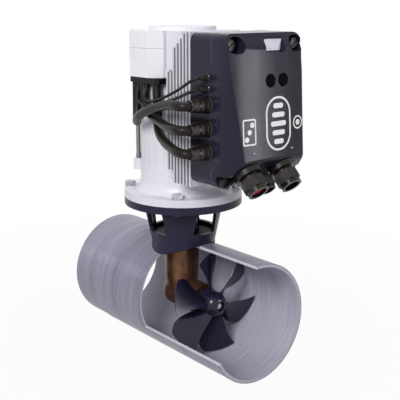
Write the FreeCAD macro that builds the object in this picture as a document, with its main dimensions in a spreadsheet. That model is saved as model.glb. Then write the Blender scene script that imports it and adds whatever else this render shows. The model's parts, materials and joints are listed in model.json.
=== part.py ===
import FreeCAD, Part
import math
import os
import re
import Sketcher
from FreeCAD import Placement, Rotation, Vector

# Electric bow thruster: a brushless motor on a cast foot, a windowed bracket
# on a glass-fibre tunnel, a bronze gear leg and a six-bladed propeller, with
# the motor controller on a heat sink beside the motor.
#
# Frame: X along the tunnel, from the centre of its whole end towards the end
# that is cut open, Z up along the motor shaft. Every sub-part is drawn about
# the point where the shaft meets the tunnel axis and is placed axis_to_end
# along X. Millimetres.

os.makedirs("parts", exist_ok=True)
doc = FreeCAD.newDocument("bow_thruster")
sheet = doc.addObject("Spreadsheet::Sheet", "Sizes")

SIZES = [
    # tunnel
    ("axis_to_end", 202.5, "tunnel's whole end to the motor shaft"),
    ("axis_to_cut_end", 192, "motor shaft to the tunnel's open end"),
    ("tunnel_bore", 185, "inside diameter"),
    ("tunnel_wall", 6, "glass-fibre wall"),
    ("land_length", 60, "end of the tunnel ground for its joint"),
    ("land_depth", 1, "end of the tunnel ground for its joint"),
    ("window_reach", 7, "top edge of the cut, beside the shaft"),
    ("window_drop", 28, "lower edge of the cut, degrees below level"),
    # bracket and gasket
    ("gasket_thick", 1.5, "saddle gasket"),
    ("bracket_foot_radius", 55.5, "outside, where it meets the tunnel"),
    ("bracket_cone_radius", 69.5, "outside, under the ring"),
    ("bracket_wall", 6, "cone wall"),
    ("bracket_floor", 14, "floor above the crown of the tunnel"),
    ("ring_bottom", 166.2, "underside of the bracket ring"),
    ("ring_thick", 12.7, "bracket ring"),
    ("flange_radius", 101.6, "bracket ring and motor flange"),
    ("bracket_window_half", 21, "half width at the top"),
    ("bracket_window_flare", 2.5, "extra half width at the bottom"),
    ("bracket_window_bottom", 118, "height of the lower edge"),
    ("bracket_window_top", 157, "height of the upper edge"),
    ("bracket_window_round", 4, "corner radius"),
    # gear leg
    ("leg_radius", 29.8, "upright tube of the gear leg"),
    ("leg_shift", -5, "the tube stands behind the drive shaft"),
    ("leg_taper_top", 30, "height where the tube narrows to the pod"),
    ("leg_taper_bottom", 10, "height where the taper ends"),
    ("leg_neck_radius", 26, "tube radius where it meets the pod"),
    ("leg_lap", 5.5, "leg standing above the crown of the tunnel"),
    ("pod_radius", 27.5, "gear pod"),
    ("pod_tail", 13.5, "centre of the pod's domed tail behind the shaft"),
    ("pod_nose", 52, "front face of the pod"),
    ("pod_bore", 21, "bore for the propeller shaft bearings"),
    ("pod_bore_tail", 17, "depth of the bore behind the drive shaft"),
    ("leg_bore", 16, "bore for the drive shaft bearings"),
    ("leg_passage", 13, "passage between leg and pod"),
    # bevel gears
    ("tooth_module", 1.5, "bevel gear module at the outer end"),
    ("pinion_teeth", 14, "teeth on the drive shaft"),
    ("gear_teeth", 25, "teeth on the propeller shaft"),
    ("gear_face", 7.5, "tooth length along the cone"),
    ("gear_hub_radius", 13.5, "hub of the crown gear"),
    ("backlash", 0.16, "gap between tooth flanks"),
    # shafts and bearings
    ("drive_shaft_radius", 7.5, "drive shaft"),
    ("pinion_bearing_seat", 24, "height of the lower drive bearing"),
    ("pinion_bearing_width", 9, "drive shaft bearings"),
    ("prop_shaft_radius", 10, "propeller shaft"),
    ("prop_bearing_seat", 21.5, "first propeller bearing"),
    ("prop_bearing_width", 12, "propeller shaft bearings"),
    ("seal_radius", 15, "outside of the shaft seals"),
    ("seal_width", 6, "shaft seals"),
    ("leg_cap_height", 9, "seal housing in the top of the leg"),
    ("pod_cap_flange", 3, "seal housing on the nose of the pod"),
    ("motor_shaft_radius", 12.5, "motor shaft at the bearings"),
    ("motor_bearing_radius", 26, "outside of the motor bearings"),
    ("motor_bearing_width", 15, "motor bearings"),
    # propeller
    ("hub_start", 56, "rear face of the propeller hub"),
    ("hub_end", 99, "nose of the propeller hub"),
    ("hub_radius", 21.5, "propeller hub"),
    ("hub_nose_radius", 10, "flat on the nose"),
    ("hub_recess_radius", 8.5, "recess for the shaft nut"),
    ("hub_recess_depth", 12, "recess for the shaft nut"),
    ("blade_count", 6, "propeller blades"),
    ("blade_station", 79, "blades' middle, ahead of the drive shaft"),
    ("blade_tip_radius", 88.5, "propeller radius"),
    ("blade_pitch", 215, "advance in one turn"),
    ("blade_thick", 5.5, "blade thickness at the root"),
    ("blade_angle", 38, "first blade from level, degrees"),
    ("nut_radius", 6.5, "across the corners of the shaft nut, halved"),
    ("nut_height", 6, "shaft nut"),
    ("washer_thick", 1.6, "shaft washer"),
    ("pin_radius", 2.5, "drive pin"),
    # coupling
    ("coupling_radius", 24, "jaw coupling"),
    ("coupling_core", 10, "clear of the jaws at the middle"),
    ("coupling_base", 118, "underside of the lower hub"),
    ("coupling_hub", 17, "solid length of each hub"),
    ("coupling_jaw", 15, "length of the jaws"),
    ("jaw_angle", 46, "each of the six jaws, degrees"),
    # motor foot
    ("flange_thick", 12.4, "motor flange"),
    ("flange_step", 1.5, "recess inside the flange's bolt band"),
    ("bolt_band", 18, "width of the flange's bolt band"),
    ("neck_radius", 73, "neck of the motor foot"),
    ("flare_height", 18, "curve from the flange to the neck"),
    ("spigot_radius", 61.9, "spigot in the bracket ring"),
    ("spigot_depth", 7, "spigot below the flange"),
    ("foot_top", 237, "top of the motor foot"),
    ("foot_diaphragm", 8, "plate that carries the lower bearing"),
    ("shelf_bottom", 223, "underside of the heat sink shelf"),
    # motor
    ("motor_radius", 72, "motor frame"),
    ("motor_wall", 7, "motor frame wall"),
    ("motor_top", 398, "top of the motor frame"),
    ("groove_count", 28, "upright grooves round the motor frame"),
    ("groove_width", 1.4, "upright grooves"),
    ("groove_depth", 0.9, "upright grooves"),
    ("stator_length", 100, "laminated core"),
    ("stator_bore", 38, "radius inside the stator teeth"),
    ("slot_count", 12, "stator slots"),
    ("slot_width", 9, "stator slots"),
    ("slot_depth", 15, "stator slots"),
    ("winding_height", 14, "end windings beyond the core"),
    ("air_gap", 1, "rotor to stator"),
    ("magnet_thick", 4, "rotor magnets"),
    ("magnet_count", 8, "rotor magnets"),
    ("rod_circle", 76.5, "circle of the tie rods"),
    ("rod_radius", 3.8, "tie rods"),
    ("rod_count", 4, "tie rods"),
    ("rod_angle", 50, "first tie rod, degrees"),
    ("ear_radius", 8.5, "ears for the tie rods"),
    ("ear_bottom", 223, "underside of the lower ears"),
    ("ear_rise", 5, "ears above the foot"),
    # end shield and terminal box
    ("shield_radius", 70, "end shield"),
    ("shield_top", 459, "top of the end shield"),
    ("shield_skin", 7, "roof of the end shield"),
    ("shield_ear", 14, "upper ears for the tie rods"),
    ("block_half", 62, "half width of the shield's block and shelf"),
    ("lid_radius", 56, "round lid on the end shield"),
    ("lid_thick", 6, "round lid"),
    ("box_front", 88, "front of the terminal box"),
    ("box_right", 19, "front right corner of the terminal box"),
    ("box_left", 29, "front left corner of the terminal box"),
    ("box_chamfer", 15, "terminal box chamfer"),
    ("box_side", 66, "left side of the terminal box"),
    ("box_side_front", 62, "front of the terminal box's left side"),
    ("box_bottom", 385, "underside of the terminal box"),
    ("box_lid_height", 27.4, "height of the terminal box lid"),
    ("box_wall", 2.5, "terminal box wall"),
    ("plate_thick", 9, "cable plate under the terminal box"),
    # heat sink
    ("sink_half", 81, "half width of heat sink and controller"),
    ("sink_back", 59.2, "first fin"),
    ("sink_front", 118, "mounting face of the controller"),
    ("sink_bottom", 223, "lower end of the long fins"),
    ("sink_chamfer", 27, "slope at the top of the fins"),
    ("fin_pitch", 7.8, "fin spacing"),
    ("fin_gap", 4.4, "space between fins"),
    ("fin_count", 7, "gaps between fins"),
    ("sink_web", 60, "half width of the web between the fins"),
    ("sink_step", 74.6, "where the long fins begin"),
    ("sink_step_bottom", 242, "lower end of the short fins"),
    ("sink_fit", 0.3, "gap to the motor frame"),
    # controller
    ("case_bottom", 231, "underside of the controller"),
    ("case_corner", 14, "corner radius seen from the front"),
    ("case_wall", 4, "controller walls"),
    ("case_joint", 165, "joint of base and cover at the corners"),
    ("case_joint_mid", 180, "joint of base and cover at mid height"),
    ("case_joint_low", 258, "lower end of the raised joint"),
    ("case_joint_high", 417, "upper end of the raised joint"),
    ("case_joint_slope", 14, "slope of the raised joint"),
    ("joint_gap", 1, "gasket between base and cover"),
    ("case_front_top", 203, "front of the cover at the top"),
    ("case_front_bottom", 213, "front of the cover at the bottom"),
    ("case_brow", 438, "height where the front leans back"),
    ("case_crown", 191, "front of the roof"),
    ("case_sill", 268, "height where the gland face begins"),
    ("case_edge_round", 17, "upright front edges"),
    ("screw_bay_half", 10, "half height of the screw bays"),
    ("screw_bay_inner", 50, "inner end of the screw bays, from the middle"),
    ("screw_bay_floor", 180, "floor of the screw bays"),
    ("screw_radius", 5.2, "cover screw heads"),
    ("screw_side", 66, "cover screws from the middle"),
    ("screw_high", 442, "upper cover screws"),
    ("screw_low", 239, "lower cover screws"),
    ("tag_width", 36, "plain plate at the top of the cover"),
    ("tag_height", 17, "plain plate at the top of the cover"),
    ("tag_middle", 14.5, "plate's middle, from the middle of the cover"),
    ("tag_level", 441, "plate's middle height"),
    ("tag_depth", 9, "recess of the plate"),
    ("socket_radius", 9.2, "data sockets"),
    ("socket_level", 389, "height of the data sockets"),
    ("socket_middle", 14.5, "sockets' middle, from the middle of the cover"),
    ("socket_pitch", 27, "spacing of the data sockets"),
    ("socket_depth", 13, "data sockets"),
    # cable glands
    ("gland_spread", 35.5, "outer glands from the middle"),
    ("gland_up", 23, "outer glands below the sill, along the face"),
    ("gland_radius", 19.5, "across the nut's corners, halved"),
    ("gland_bore", 10, "cable opening of the outer glands"),
    ("gland_flange", 23, "shoulder of the outer glands"),
    ("gland_nut", 24, "nut length of the outer glands"),
    ("small_gland_radius", 14, "middle gland across the corners, halved"),
    ("small_gland_bore", 6.5, "cable opening of the middle gland"),
    ("small_gland_up", 35, "middle gland below the sill, along the face"),
    # cables
    ("cable_radius", 6.4, "motor cables"),
    ("lead_radius", 2.2, "sensor leads"),
    ("boot_radius", 9.4, "cable boots at the controller"),
    ("boot_length", 28, "cable boots"),
    ("lead_boot_radius", 4.2, "sensor lead boots"),
    ("lead_boot_length", 14, "sensor lead boots"),
    ("boot_forward", 156, "cable entries, from the motor shaft"),
    ("boot_level", 355, "first cable entry"),
    ("boot_drop", 35.3, "spacing of the cable entries"),
    ("lead_level", 395, "first sensor lead entry"),
    ("lead_drop", 17, "spacing of the sensor lead entries"),
    # fasteners
    ("flange_bolts", 4, "bolts of the motor flange"),
    ("flange_bolt_circle", 92.5, "circle of the flange bolts"),
    ("flange_bolt_angle", 45, "first flange bolt, degrees"),
    ("bolt_radius", 5, "M10 shank"),
    ("bolt_head", 9.2, "M10 head across the corners, halved"),
    ("bolt_head_height", 6.4, "M10 head"),
    ("flange_washer_radius", 9, "M10 washer"),
    ("flange_washer_thick", 2, "M10 washer"),
    ("leg_bolt_circle", 24.5, "circle of the leg bolts"),
    ("leg_bolt_radius", 3, "M6 shank"),
    ("fit", 0.05, "running fit"),
    ("clearance", 0.3, "open clearance"),
]

for row, (alias, value, note) in enumerate(SIZES, 1):
    sheet.set(f"A{row}", note)
    sheet.set(f"B{row}", str(value))
    sheet.setAlias(f"B{row}", alias)
doc.recompute()
ALIASES = {alias for alias, value, note in SIZES}
PARTS = []


def bound(text):
    """The expression with each size's name pointing at the sheet."""
    def name(match):
        word = match.group(0)
        return "Sizes." + word if word in ALIASES else word
    return re.sub(r"[a-z][a-z_]*", name, str(text))


def size(text):
    """The present value of an expression in the sheet's sizes."""
    found = sheet.evalExpression(bound(text))
    return float(getattr(found, "Value", found))


def follow(thing, prop, text):
    """Ties a property to the sheet."""
    thing.setExpression(prop, bound(text))


def begin(label):
    """A body for one sub-part, placed on the motor shaft."""
    body = doc.addObject("PartDesign::Body", label)
    body.Label = label
    body.AllowCompound = True
    follow(body, "Placement.Base.x", "axis_to_end")
    PARTS.append(body)
    return body


def spun(body):
    """Turns a sub-part of the propeller line so that its blades stand right."""
    body.Placement = Placement(Vector(), Rotation(Vector(1, 0, 0), 8))
    follow(body, "Placement.Base.x", "axis_to_end")
    follow(body, "Placement.Rotation.Angle", "blade_angle - 30")


def keep(thing, label):
    """A finished Part object that is a sub-part."""
    thing.Label = label
    PARTS.append(thing)
    return thing


def origin(body, role):
    """A plane or axis of the body's own origin."""
    for item in body.Origin.OriginFeatures:
        if item.Role == role:
            return item
    raise ValueError(role)


def circle(x, y, radius):
    return ("circle", x, y, radius)


def box(x_low, y_low, x_high, y_high):
    return [(x_low, y_low), (x_high, y_low), (x_high, y_high), (x_low, y_high)]


def rounded(x_low, y_low, x_high, y_high, radius):
    """A rectangle with rounded corners: a third entry is the arc that ends there."""
    r = f"({radius})"
    return [
        (f"{x_low} + {r}", y_low), (f"{x_high} - {r}", y_low),
        (x_high, f"{y_low} + {r}", radius), (x_high, f"{y_high} - {r}"),
        (f"{x_high} - {r}", y_high, radius), (f"{x_low} + {r}", y_high),
        (x_low, f"{y_high} - {r}", radius), (x_low, f"{y_low} + {r}"),
        (f"{x_low} + {r}", y_low, radius),
    ]


def polygon(count, radius, x="0", y="0", turn="0"):
    """A regular polygon."""
    corners = []
    for step in range(count):
        angle = f"({turn} + {360 / count * step})"
        corners.append((f"({x}) + ({radius}) * cos({angle})",
                        f"({y}) + ({radius}) * sin({angle})"))
    return corners


def arc_between(start, end, radius):
    """An arc from start to end; a positive radius turns left."""
    middle = (start + end) / 2
    chord = end - start
    half = chord.Length / 2
    reach = math.sqrt(max(radius * radius - half * half, 0))
    side = Vector(-chord.y, chord.x, 0).normalize()
    centre = middle + side * math.copysign(reach, radius)
    bulge = middle - centre
    if bulge.Length < 1e-9:
        bulge = side * -math.copysign(1, radius)
    top = centre + bulge.normalize() * abs(radius)
    if radius < 0:
        return Part.Arc(end, top, start)
    return Part.Arc(start, top, end)


def hold(drawing, first, first_point, kind, text):
    """A named distance from the sketch's origin, tied to the sheet."""
    spot = drawing.addConstraint(
        Sketcher.Constraint(kind, -1, 1, first, first_point, size(text)))
    drawing.setExpression(f"Constraints[{spot}]", bound(text))


def draw_circle(drawing, x, y, radius):
    number = drawing.addGeometry(
        Part.Circle(Vector(size(x), size(y), 0), Vector(0, 0, 1), size(radius)))
    spot = drawing.addConstraint(Sketcher.Constraint("Radius", number, size(radius)))
    drawing.setExpression(f"Constraints[{spot}]", bound(radius))
    hold(drawing, number, 3, "DistanceX", x)
    hold(drawing, number, 3, "DistanceY", y)


def draw_outline(drawing, corners):
    """A closed outline of lines and arcs through corners held by the sheet."""
    if len(corners[-1]) == 3 and corners[0][:2] == corners[-1][:2]:
        corners = [corners[-1]] + corners[1:-1]
    spots = [Vector(size(c[0]), size(c[1]), 0) for c in corners]
    first = drawing.GeometryCount
    total = len(corners)
    for index in range(total):
        following = corners[(index + 1) % total]
        start, end = spots[index], spots[(index + 1) % total]
        if len(following) == 3:
            drawing.addGeometry(arc_between(start, end, size(following[2])))
        else:
            drawing.addGeometry(Part.LineSegment(start, end))
    for index in range(total):
        number = first + index
        begin_point, end_point = 1, 2
        edge = drawing.Geometry[number]
        if edge.StartPoint.sub(spots[index]).Length > 1e-6:
            begin_point, end_point = 2, 1
        hold(drawing, number, begin_point, "DistanceX", corners[index][0])
        hold(drawing, number, begin_point, "DistanceY", corners[index][1])
        after = first + (index + 1) % total
        after_point = 1
        if drawing.Geometry[after].StartPoint.sub(spots[(index + 1) % total]).Length > 1e-6:
            after_point = 2
        drawing.addConstraint(
            Sketcher.Constraint("Coincident", number, end_point, after, after_point))
        following = corners[(index + 1) % total]
        if len(following) == 3:
            spot = drawing.addConstraint(
                Sketcher.Constraint("Radius", number, abs(size(following[2]))))
            drawing.setExpression(f"Constraints[{spot}]", bound(f"abs({following[2]})"))


def sketch(body, plane, loops, lift="0", turn=None):
    """A sketch on an origin plane, lifted along that plane's normal."""
    drawing = body.newObject("Sketcher::SketchObject", body.Label + "_sketch")
    drawing.AttachmentSupport = (origin(body, plane + "_Plane"), [""])
    drawing.MapMode = "FlatFace"
    drawing.setExpression(".AttachmentOffset.Base.z", bound(lift))
    if turn is not None:
        drawing.setExpression(".AttachmentOffset.Rotation.Angle", bound(turn))
    for loop in loops:
        if loop[0] == "circle":
            draw_circle(drawing, *loop[1:])
        else:
            draw_outline(drawing, loop)
    return drawing


def feature(body, kind, name, profile):
    made = body.newObject("PartDesign::" + kind, body.Label + "_" + name)
    made.Profile = profile
    profile.Visibility = False
    return made


def pad(body, name, profile, length, both=False, back=False):
    made = feature(body, "Pad", name, profile)
    follow(made, "Length", length)
    made.SideType = "Symmetric" if both else "One side"
    made.Reversed = back
    body.Tip = made
    return made


def pocket(body, name, profile, length=None, both=False, back=False):
    """Cuts against the sketch's normal, or along it with back."""
    made = feature(body, "Pocket", name, profile)
    if length is None:
        made.Type = "ThroughAll"
    else:
        follow(made, "Length", length)
    made.SideType = "Symmetric" if both else "One side"
    made.Reversed = back
    body.Tip = made
    return made


def turned(body, name, profile, axis="Z", cut=False):
    """A revolution, or a groove, about an axis of the body."""
    made = feature(body, "Groove" if cut else "Revolution", name, profile)
    made.ReferenceAxis = (origin(body, axis + "_Axis"), [""])
    made.Angle = 360
    body.Tip = made
    return made


def around(body, name, features, count, axis="Z"):
    """Features repeated round an axis."""
    made = body.newObject("PartDesign::PolarPattern", body.Label + "_" + name)
    made.Originals = features
    made.Axis = (origin(body, axis + "_Axis"), [""])
    made.Angle = 360
    follow(made, "Occurrences", count)
    body.Tip = made
    return made


def along(body, name, features, axis, length, count):
    """Features repeated along an axis; length is the first to the last."""
    made = body.newObject("PartDesign::LinearPattern", body.Label + "_" + name)
    made.Originals = features
    made.Direction = (origin(body, axis + "_Axis"), [""])
    follow(made, "Length", length)
    follow(made, "Occurrences", count)
    body.Tip = made
    return made


TUNNEL_RADIUS = "(tunnel_bore / 2 + tunnel_wall)"
SADDLE_RADIUS = "(tunnel_bore / 2 + tunnel_wall + gasket_thick)"
LEG_TOP = "(tunnel_bore / 2 + tunnel_wall + leg_lap)"
FLOOR_TOP = "(tunnel_bore / 2 + tunnel_wall + bracket_floor)"
RING_TOP = "(ring_bottom + ring_thick)"
FLANGE_TOP = "(ring_bottom + ring_thick + flange_thick)"
LEG_CAP_BOTTOM = "(tunnel_bore / 2 + tunnel_wall + leg_lap - leg_cap_height)"
FOOT_RIM = "(foot_top - 15)"
LOWER_BEARING = "(foot_top - 15 - motor_bearing_width)"
UPPER_BEARING = "(motor_top + 14)"
STATOR_BOTTOM = "((foot_top + motor_top - stator_length) / 2)"
STATOR_TOP = "((foot_top + motor_top + stator_length) / 2)"


def make_tunnel():
    """Glass-fibre tube, cut open on one side from the shaft to the far end."""
    body = begin("tunnel")
    tube = sketch(body, "YZ", [circle(0, 0, TUNNEL_RADIUS), circle(0, 0, "tunnel_bore / 2")],
                  "-axis_to_end")
    pad(body, "tube", tube, "axis_to_end + axis_to_cut_end")
    land = sketch(body, "YZ", [circle(0, 0, f"{TUNNEL_RADIUS} + 1"),
                               circle(0, 0, f"{TUNNEL_RADIUS} - land_depth")], "-axis_to_end")
    pocket(body, "joint_land", land, "land_length", back=True)
    far = f"({TUNNEL_RADIUS} + 20)"
    window = sketch(body, "YZ", [[
        ("-window_reach", "-window_reach * tan(window_drop)"), ("-window_reach", far),
        (f"-{far}", far), (f"-{far}", f"-{far} * tan(window_drop)")]])
    pocket(body, "window", window, "axis_to_cut_end + 1", back=True)
    hole = sketch(body, "XY", [circle("leg_shift", 0, "leg_radius + clearance")])
    pocket(body, "leg_hole", hole, back=True)


def make_gasket():
    """Rubber saddle between bracket and tunnel."""
    body = begin("saddle_gasket")
    ring = sketch(body, "XY", [circle(0, 0, "bracket_foot_radius"),
                               circle("leg_shift", 0, "leg_radius + clearance")],
                  "tunnel_bore / 4")
    pad(body, "ring", ring, f"{SADDLE_RADIUS} - tunnel_bore / 4")
    under = sketch(body, "YZ", [circle(0, 0, f"{TUNNEL_RADIUS} + fit")])
    pocket(body, "underside", under, both=True)
    over = sketch(body, "YZ", [circle(0, 0, f"{SADDLE_RADIUS} + 60"),
                               circle(0, 0, f"{SADDLE_RADIUS} - fit")])
    pocket(body, "upperside", over, both=True)


def leg_bolt_spots():
    """The four bolts that hold the leg, round the leg's own axis."""
    spots = []
    for quarter in range(4):
        angle = 45 + 90 * quarter
        spots.append((f"leg_shift + leg_bolt_circle * cos({angle})",
                      f"leg_bolt_circle * sin({angle})"))
    return spots


def make_bracket():
    """Cast bracket: saddle foot, conical wall with four windows, bolt ring."""
    body = begin("bracket")
    inside = "spigot_radius + fit"
    wall = sketch(body, "XZ", [[
        (0, "tunnel_bore / 4"), ("bracket_foot_radius", "tunnel_bore / 4"),
        ("bracket_foot_radius", TUNNEL_RADIUS), ("bracket_cone_radius", "ring_bottom"),
        ("flange_radius", "ring_bottom"), ("flange_radius", RING_TOP),
        (inside, RING_TOP), (inside, "ring_bottom"),
        ("bracket_foot_radius - bracket_wall + 2", FLOOR_TOP), (0, FLOOR_TOP)]])
    turned(body, "casting", wall)
    saddle = sketch(body, "YZ", [circle(0, 0, SADDLE_RADIUS)])
    pocket(body, "saddle", saddle, both=True)
    socket = sketch(body, "XY", [circle("leg_shift", 0, "leg_radius + fit")], LEG_TOP)
    pocket(body, "leg_socket", socket)
    bore = sketch(body, "XY", [circle(0, 0, "leg_bore + 1")], f"{FLOOR_TOP} + 1")
    pocket(body, "shaft_bore", bore)
    holes = sketch(body, "XY", [circle(x, y, "leg_bolt_radius + fit")
                                for x, y in leg_bolt_spots()], f"{FLOOR_TOP} + 1")
    pocket(body, "leg_bolt_holes", holes)
    low, high = "bracket_window_bottom", "bracket_window_top"
    wide, slim = "(bracket_window_half + bracket_window_flare)", "bracket_window_half"
    bend = "bracket_window_round"
    lean = f"(bracket_window_flare * {bend} / ({high} - {low}))"
    for plane in ("XZ", "YZ"):
        window = sketch(body, plane, [[
            (f"-{wide} + {bend}", low), (f"{wide} - {bend}", low),
            (f"{wide} - {lean}", f"{low} + {bend}", bend),
            (f"{slim} + {lean}", f"{high} - {bend}"), (f"{slim} - {bend}", high, bend),
            (f"-{slim} + {bend}", high), (f"-{slim} - {lean}", f"{high} - {bend}", bend),
            (f"-{wide} + {lean}", f"{low} + {bend}"), (f"-{wide} + {bend}", low, bend)]])
        pocket(body, "windows_" + plane, window, both=True)
    bolt = sketch(body, "XY", [circle("flange_bolt_circle * cos(flange_bolt_angle)",
                                      "flange_bolt_circle * sin(flange_bolt_angle)",
                                      "bolt_radius + fit")], f"{RING_TOP} + 1")
    hole = pocket(body, "bolt_hole", bolt, "ring_thick + 2")
    around(body, "bolt_holes", [hole], "flange_bolts")


def make_gear_leg():
    """Bronze casting: an upright tube on a pod with a domed tail."""
    body = begin("gear_leg")
    tube = sketch(body, "XY", [circle("leg_shift", 0, "leg_radius")], "leg_taper_top")
    pad(body, "tube", tube, f"{LEG_TOP} - leg_taper_top")
    top = sketch(body, "XY", [circle("leg_shift", 0, "leg_radius")], "leg_taper_top")
    bottom = sketch(body, "XY", [circle("leg_shift", 0, "leg_neck_radius")],
                    "leg_taper_bottom")
    taper = feature(body, "AdditiveLoft", "taper", top)
    taper.Sections = [bottom]
    body.Tip = taper
    neck = sketch(body, "XY", [circle("leg_shift", 0, "leg_neck_radius")])
    pad(body, "neck", neck, "leg_taper_bottom")
    pod = sketch(body, "XZ", [[
        ("-pod_tail - pod_radius", 0), ("pod_nose", 0), ("pod_nose", "pod_radius - 1"),
        ("pod_nose - 1", "pod_radius"), ("-pod_tail", "pod_radius"),
        ("-pod_tail - pod_radius", 0, "pod_radius")]])
    turned(body, "pod", pod, "X")
    inside = sketch(body, "XZ", [[
        ("-pod_bore_tail", 0), ("pod_nose + 1", 0), ("pod_nose + 1", "pod_bore"),
        ("-pod_bore_tail + 6", "pod_bore"), ("-pod_bore_tail", "pod_bore - 6")]])
    turned(body, "pod_bore", inside, "X", cut=True)
    shaft = sketch(body, "XZ", [[
        (0, 0), ("leg_passage", 0), ("leg_passage", "pinion_bearing_seat"),
        ("leg_bore", "pinion_bearing_seat"), ("leg_bore", f"{LEG_TOP} + 1"),
        (0, f"{LEG_TOP} + 1")]])
    turned(body, "leg_bore", shaft, "Z", cut=True)
    holes = sketch(body, "XY", [circle(x, y, "leg_bolt_radius + fit")
                                for x, y in leg_bolt_spots()], LEG_TOP)
    pocket(body, "bolt_holes", holes, "16")


def make_bearings(place, axis, spots):
    """Sealed ball bearings: outer rings with their shields, and inner rings."""
    outside, inside = [], []
    for start, inner, outer, width in spots:
        ring = f"(({outer}) - ({inner})) * 0.3"
        end = f"{start} + {width}"
        lip = f"{inner} + {ring} + 2 * fit"
        outside.append([
            (start, f"{outer} - fit"), (start, lip), (f"{start} + 1", lip),
            (f"{start} + 1", f"{outer} - {ring}"), (f"{end} - 1", f"{outer} - {ring}"),
            (f"{end} - 1", lip), (end, lip), (end, f"{outer} - fit")])
        inside.append(box(start, inner, end, f"{inner} + {ring}"))
    for label, loops in ((place + "_bearing_outer_rings", outside),
                         (place + "_bearing_inner_rings", inside)):
        body = begin(label)
        if axis == "Z":
            loops = [[(y, x) for x, y in loop] for loop in loops]
        profile = sketch(body, "XZ", loops)
        turned(body, "rings", profile, axis)


def make_leg_fittings():
    """Spacer, seals and their housings in the gear leg."""
    body = begin("bearing_spacer")
    tube = sketch(body, "XY", [circle(0, 0, "leg_bore - fit"), circle(0, 0, "leg_bore - 2.5")],
                  "pinion_bearing_seat + pinion_bearing_width")
    pad(body, "tube", tube,
        f"{LEG_CAP_BOTTOM} - pinion_bearing_seat - 2 * pinion_bearing_width")

    body = begin("leg_seal_housing")
    cap = sketch(body, "XZ", [[
        ("drive_shaft_radius + 1", LEG_CAP_BOTTOM), ("leg_bore - fit", LEG_CAP_BOTTOM),
        ("leg_bore - fit", LEG_TOP), ("leg_bore - 3", LEG_TOP),
        ("leg_bore - 3", f"{LEG_TOP} - seal_width"),
        ("drive_shaft_radius + 1", f"{LEG_TOP} - seal_width")]])
    turned(body, "ring", cap)

    body = begin("pod_seal_housing")
    behind = "prop_bearing_seat + 2 * prop_bearing_width + 2 * fit"
    cap = sketch(body, "XZ", [[
        (behind, "prop_shaft_radius + 1"), (f"{behind} + 2", "prop_shaft_radius + 1"),
        (f"{behind} + 2", "seal_radius"), ("pod_nose + pod_cap_flange", "seal_radius"),
        ("pod_nose + pod_cap_flange", "pod_radius - 1"), ("pod_nose", "pod_radius - 1"),
        ("pod_nose", "pod_bore - fit"), (behind, "pod_bore - fit")]])
    turned(body, "ring", cap, "X")

    body = begin("shaft_seals")
    seal = sketch(body, "XY", [circle(0, 0, "leg_bore - 3 - fit"),
                               circle(0, 0, "drive_shaft_radius + fit")],
                  f"{LEG_TOP} - seal_width")
    pad(body, "leg_seal", seal, "seal_width")
    seal = sketch(body, "YZ", [circle(0, 0, "seal_radius - fit"),
                               circle(0, 0, "prop_shaft_radius + fit")], f"{behind} + 2")
    pad(body, "pod_seal", seal, "seal_width")


def cone_outline(teeth, mate, height, first, sign):
    """Outline of a bevel gear's teeth on a plane across its axis.

    Involute teeth of the equivalent spur gear, carried towards the apex.
    """
    module = size("tooth_module")
    slope = math.atan2(teeth, mate)
    cone = module * math.hypot(teeth, mate) / 2
    pitch = cone * math.tan(slope)
    base = pitch * math.cos(math.radians(20))
    half = math.pi * module / 4 - size("backlash") / 4

    def roll(radius):
        lean = math.acos(min(base / radius, 1))
        return math.tan(lean) - lean

    heights = [-1.25, -0.8, -0.35, 0, 0.35, 0.7, 1]
    flank = []
    for step in heights:
        radius = pitch + step * module
        turn = half / pitch + roll(pitch) - roll(max(radius, base))
        flank.append((radius, turn))
    points = []
    for tooth in range(teeth):
        middle = first + 2 * math.pi * tooth / teeth
        for side, steps in ((-1, flank), (1, flank[::-1])):
            for radius, turn in steps:
                angle = middle + sign * side * turn / math.cos(slope)
                along_axis = cone / math.cos(slope) - radius * math.sin(slope)
                reach = radius * math.cos(slope) * height / along_axis
                points.append((reach * math.cos(angle), reach * math.sin(angle)))
    return points


def solid_of(shape):
    """The shape's solid, facing outwards."""
    found = shape.Solids[0] if shape.Solids else Part.Solid(Part.Shell(shape.Faces))
    if found.Volume < 0:
        found.reverse()
    return found


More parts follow.
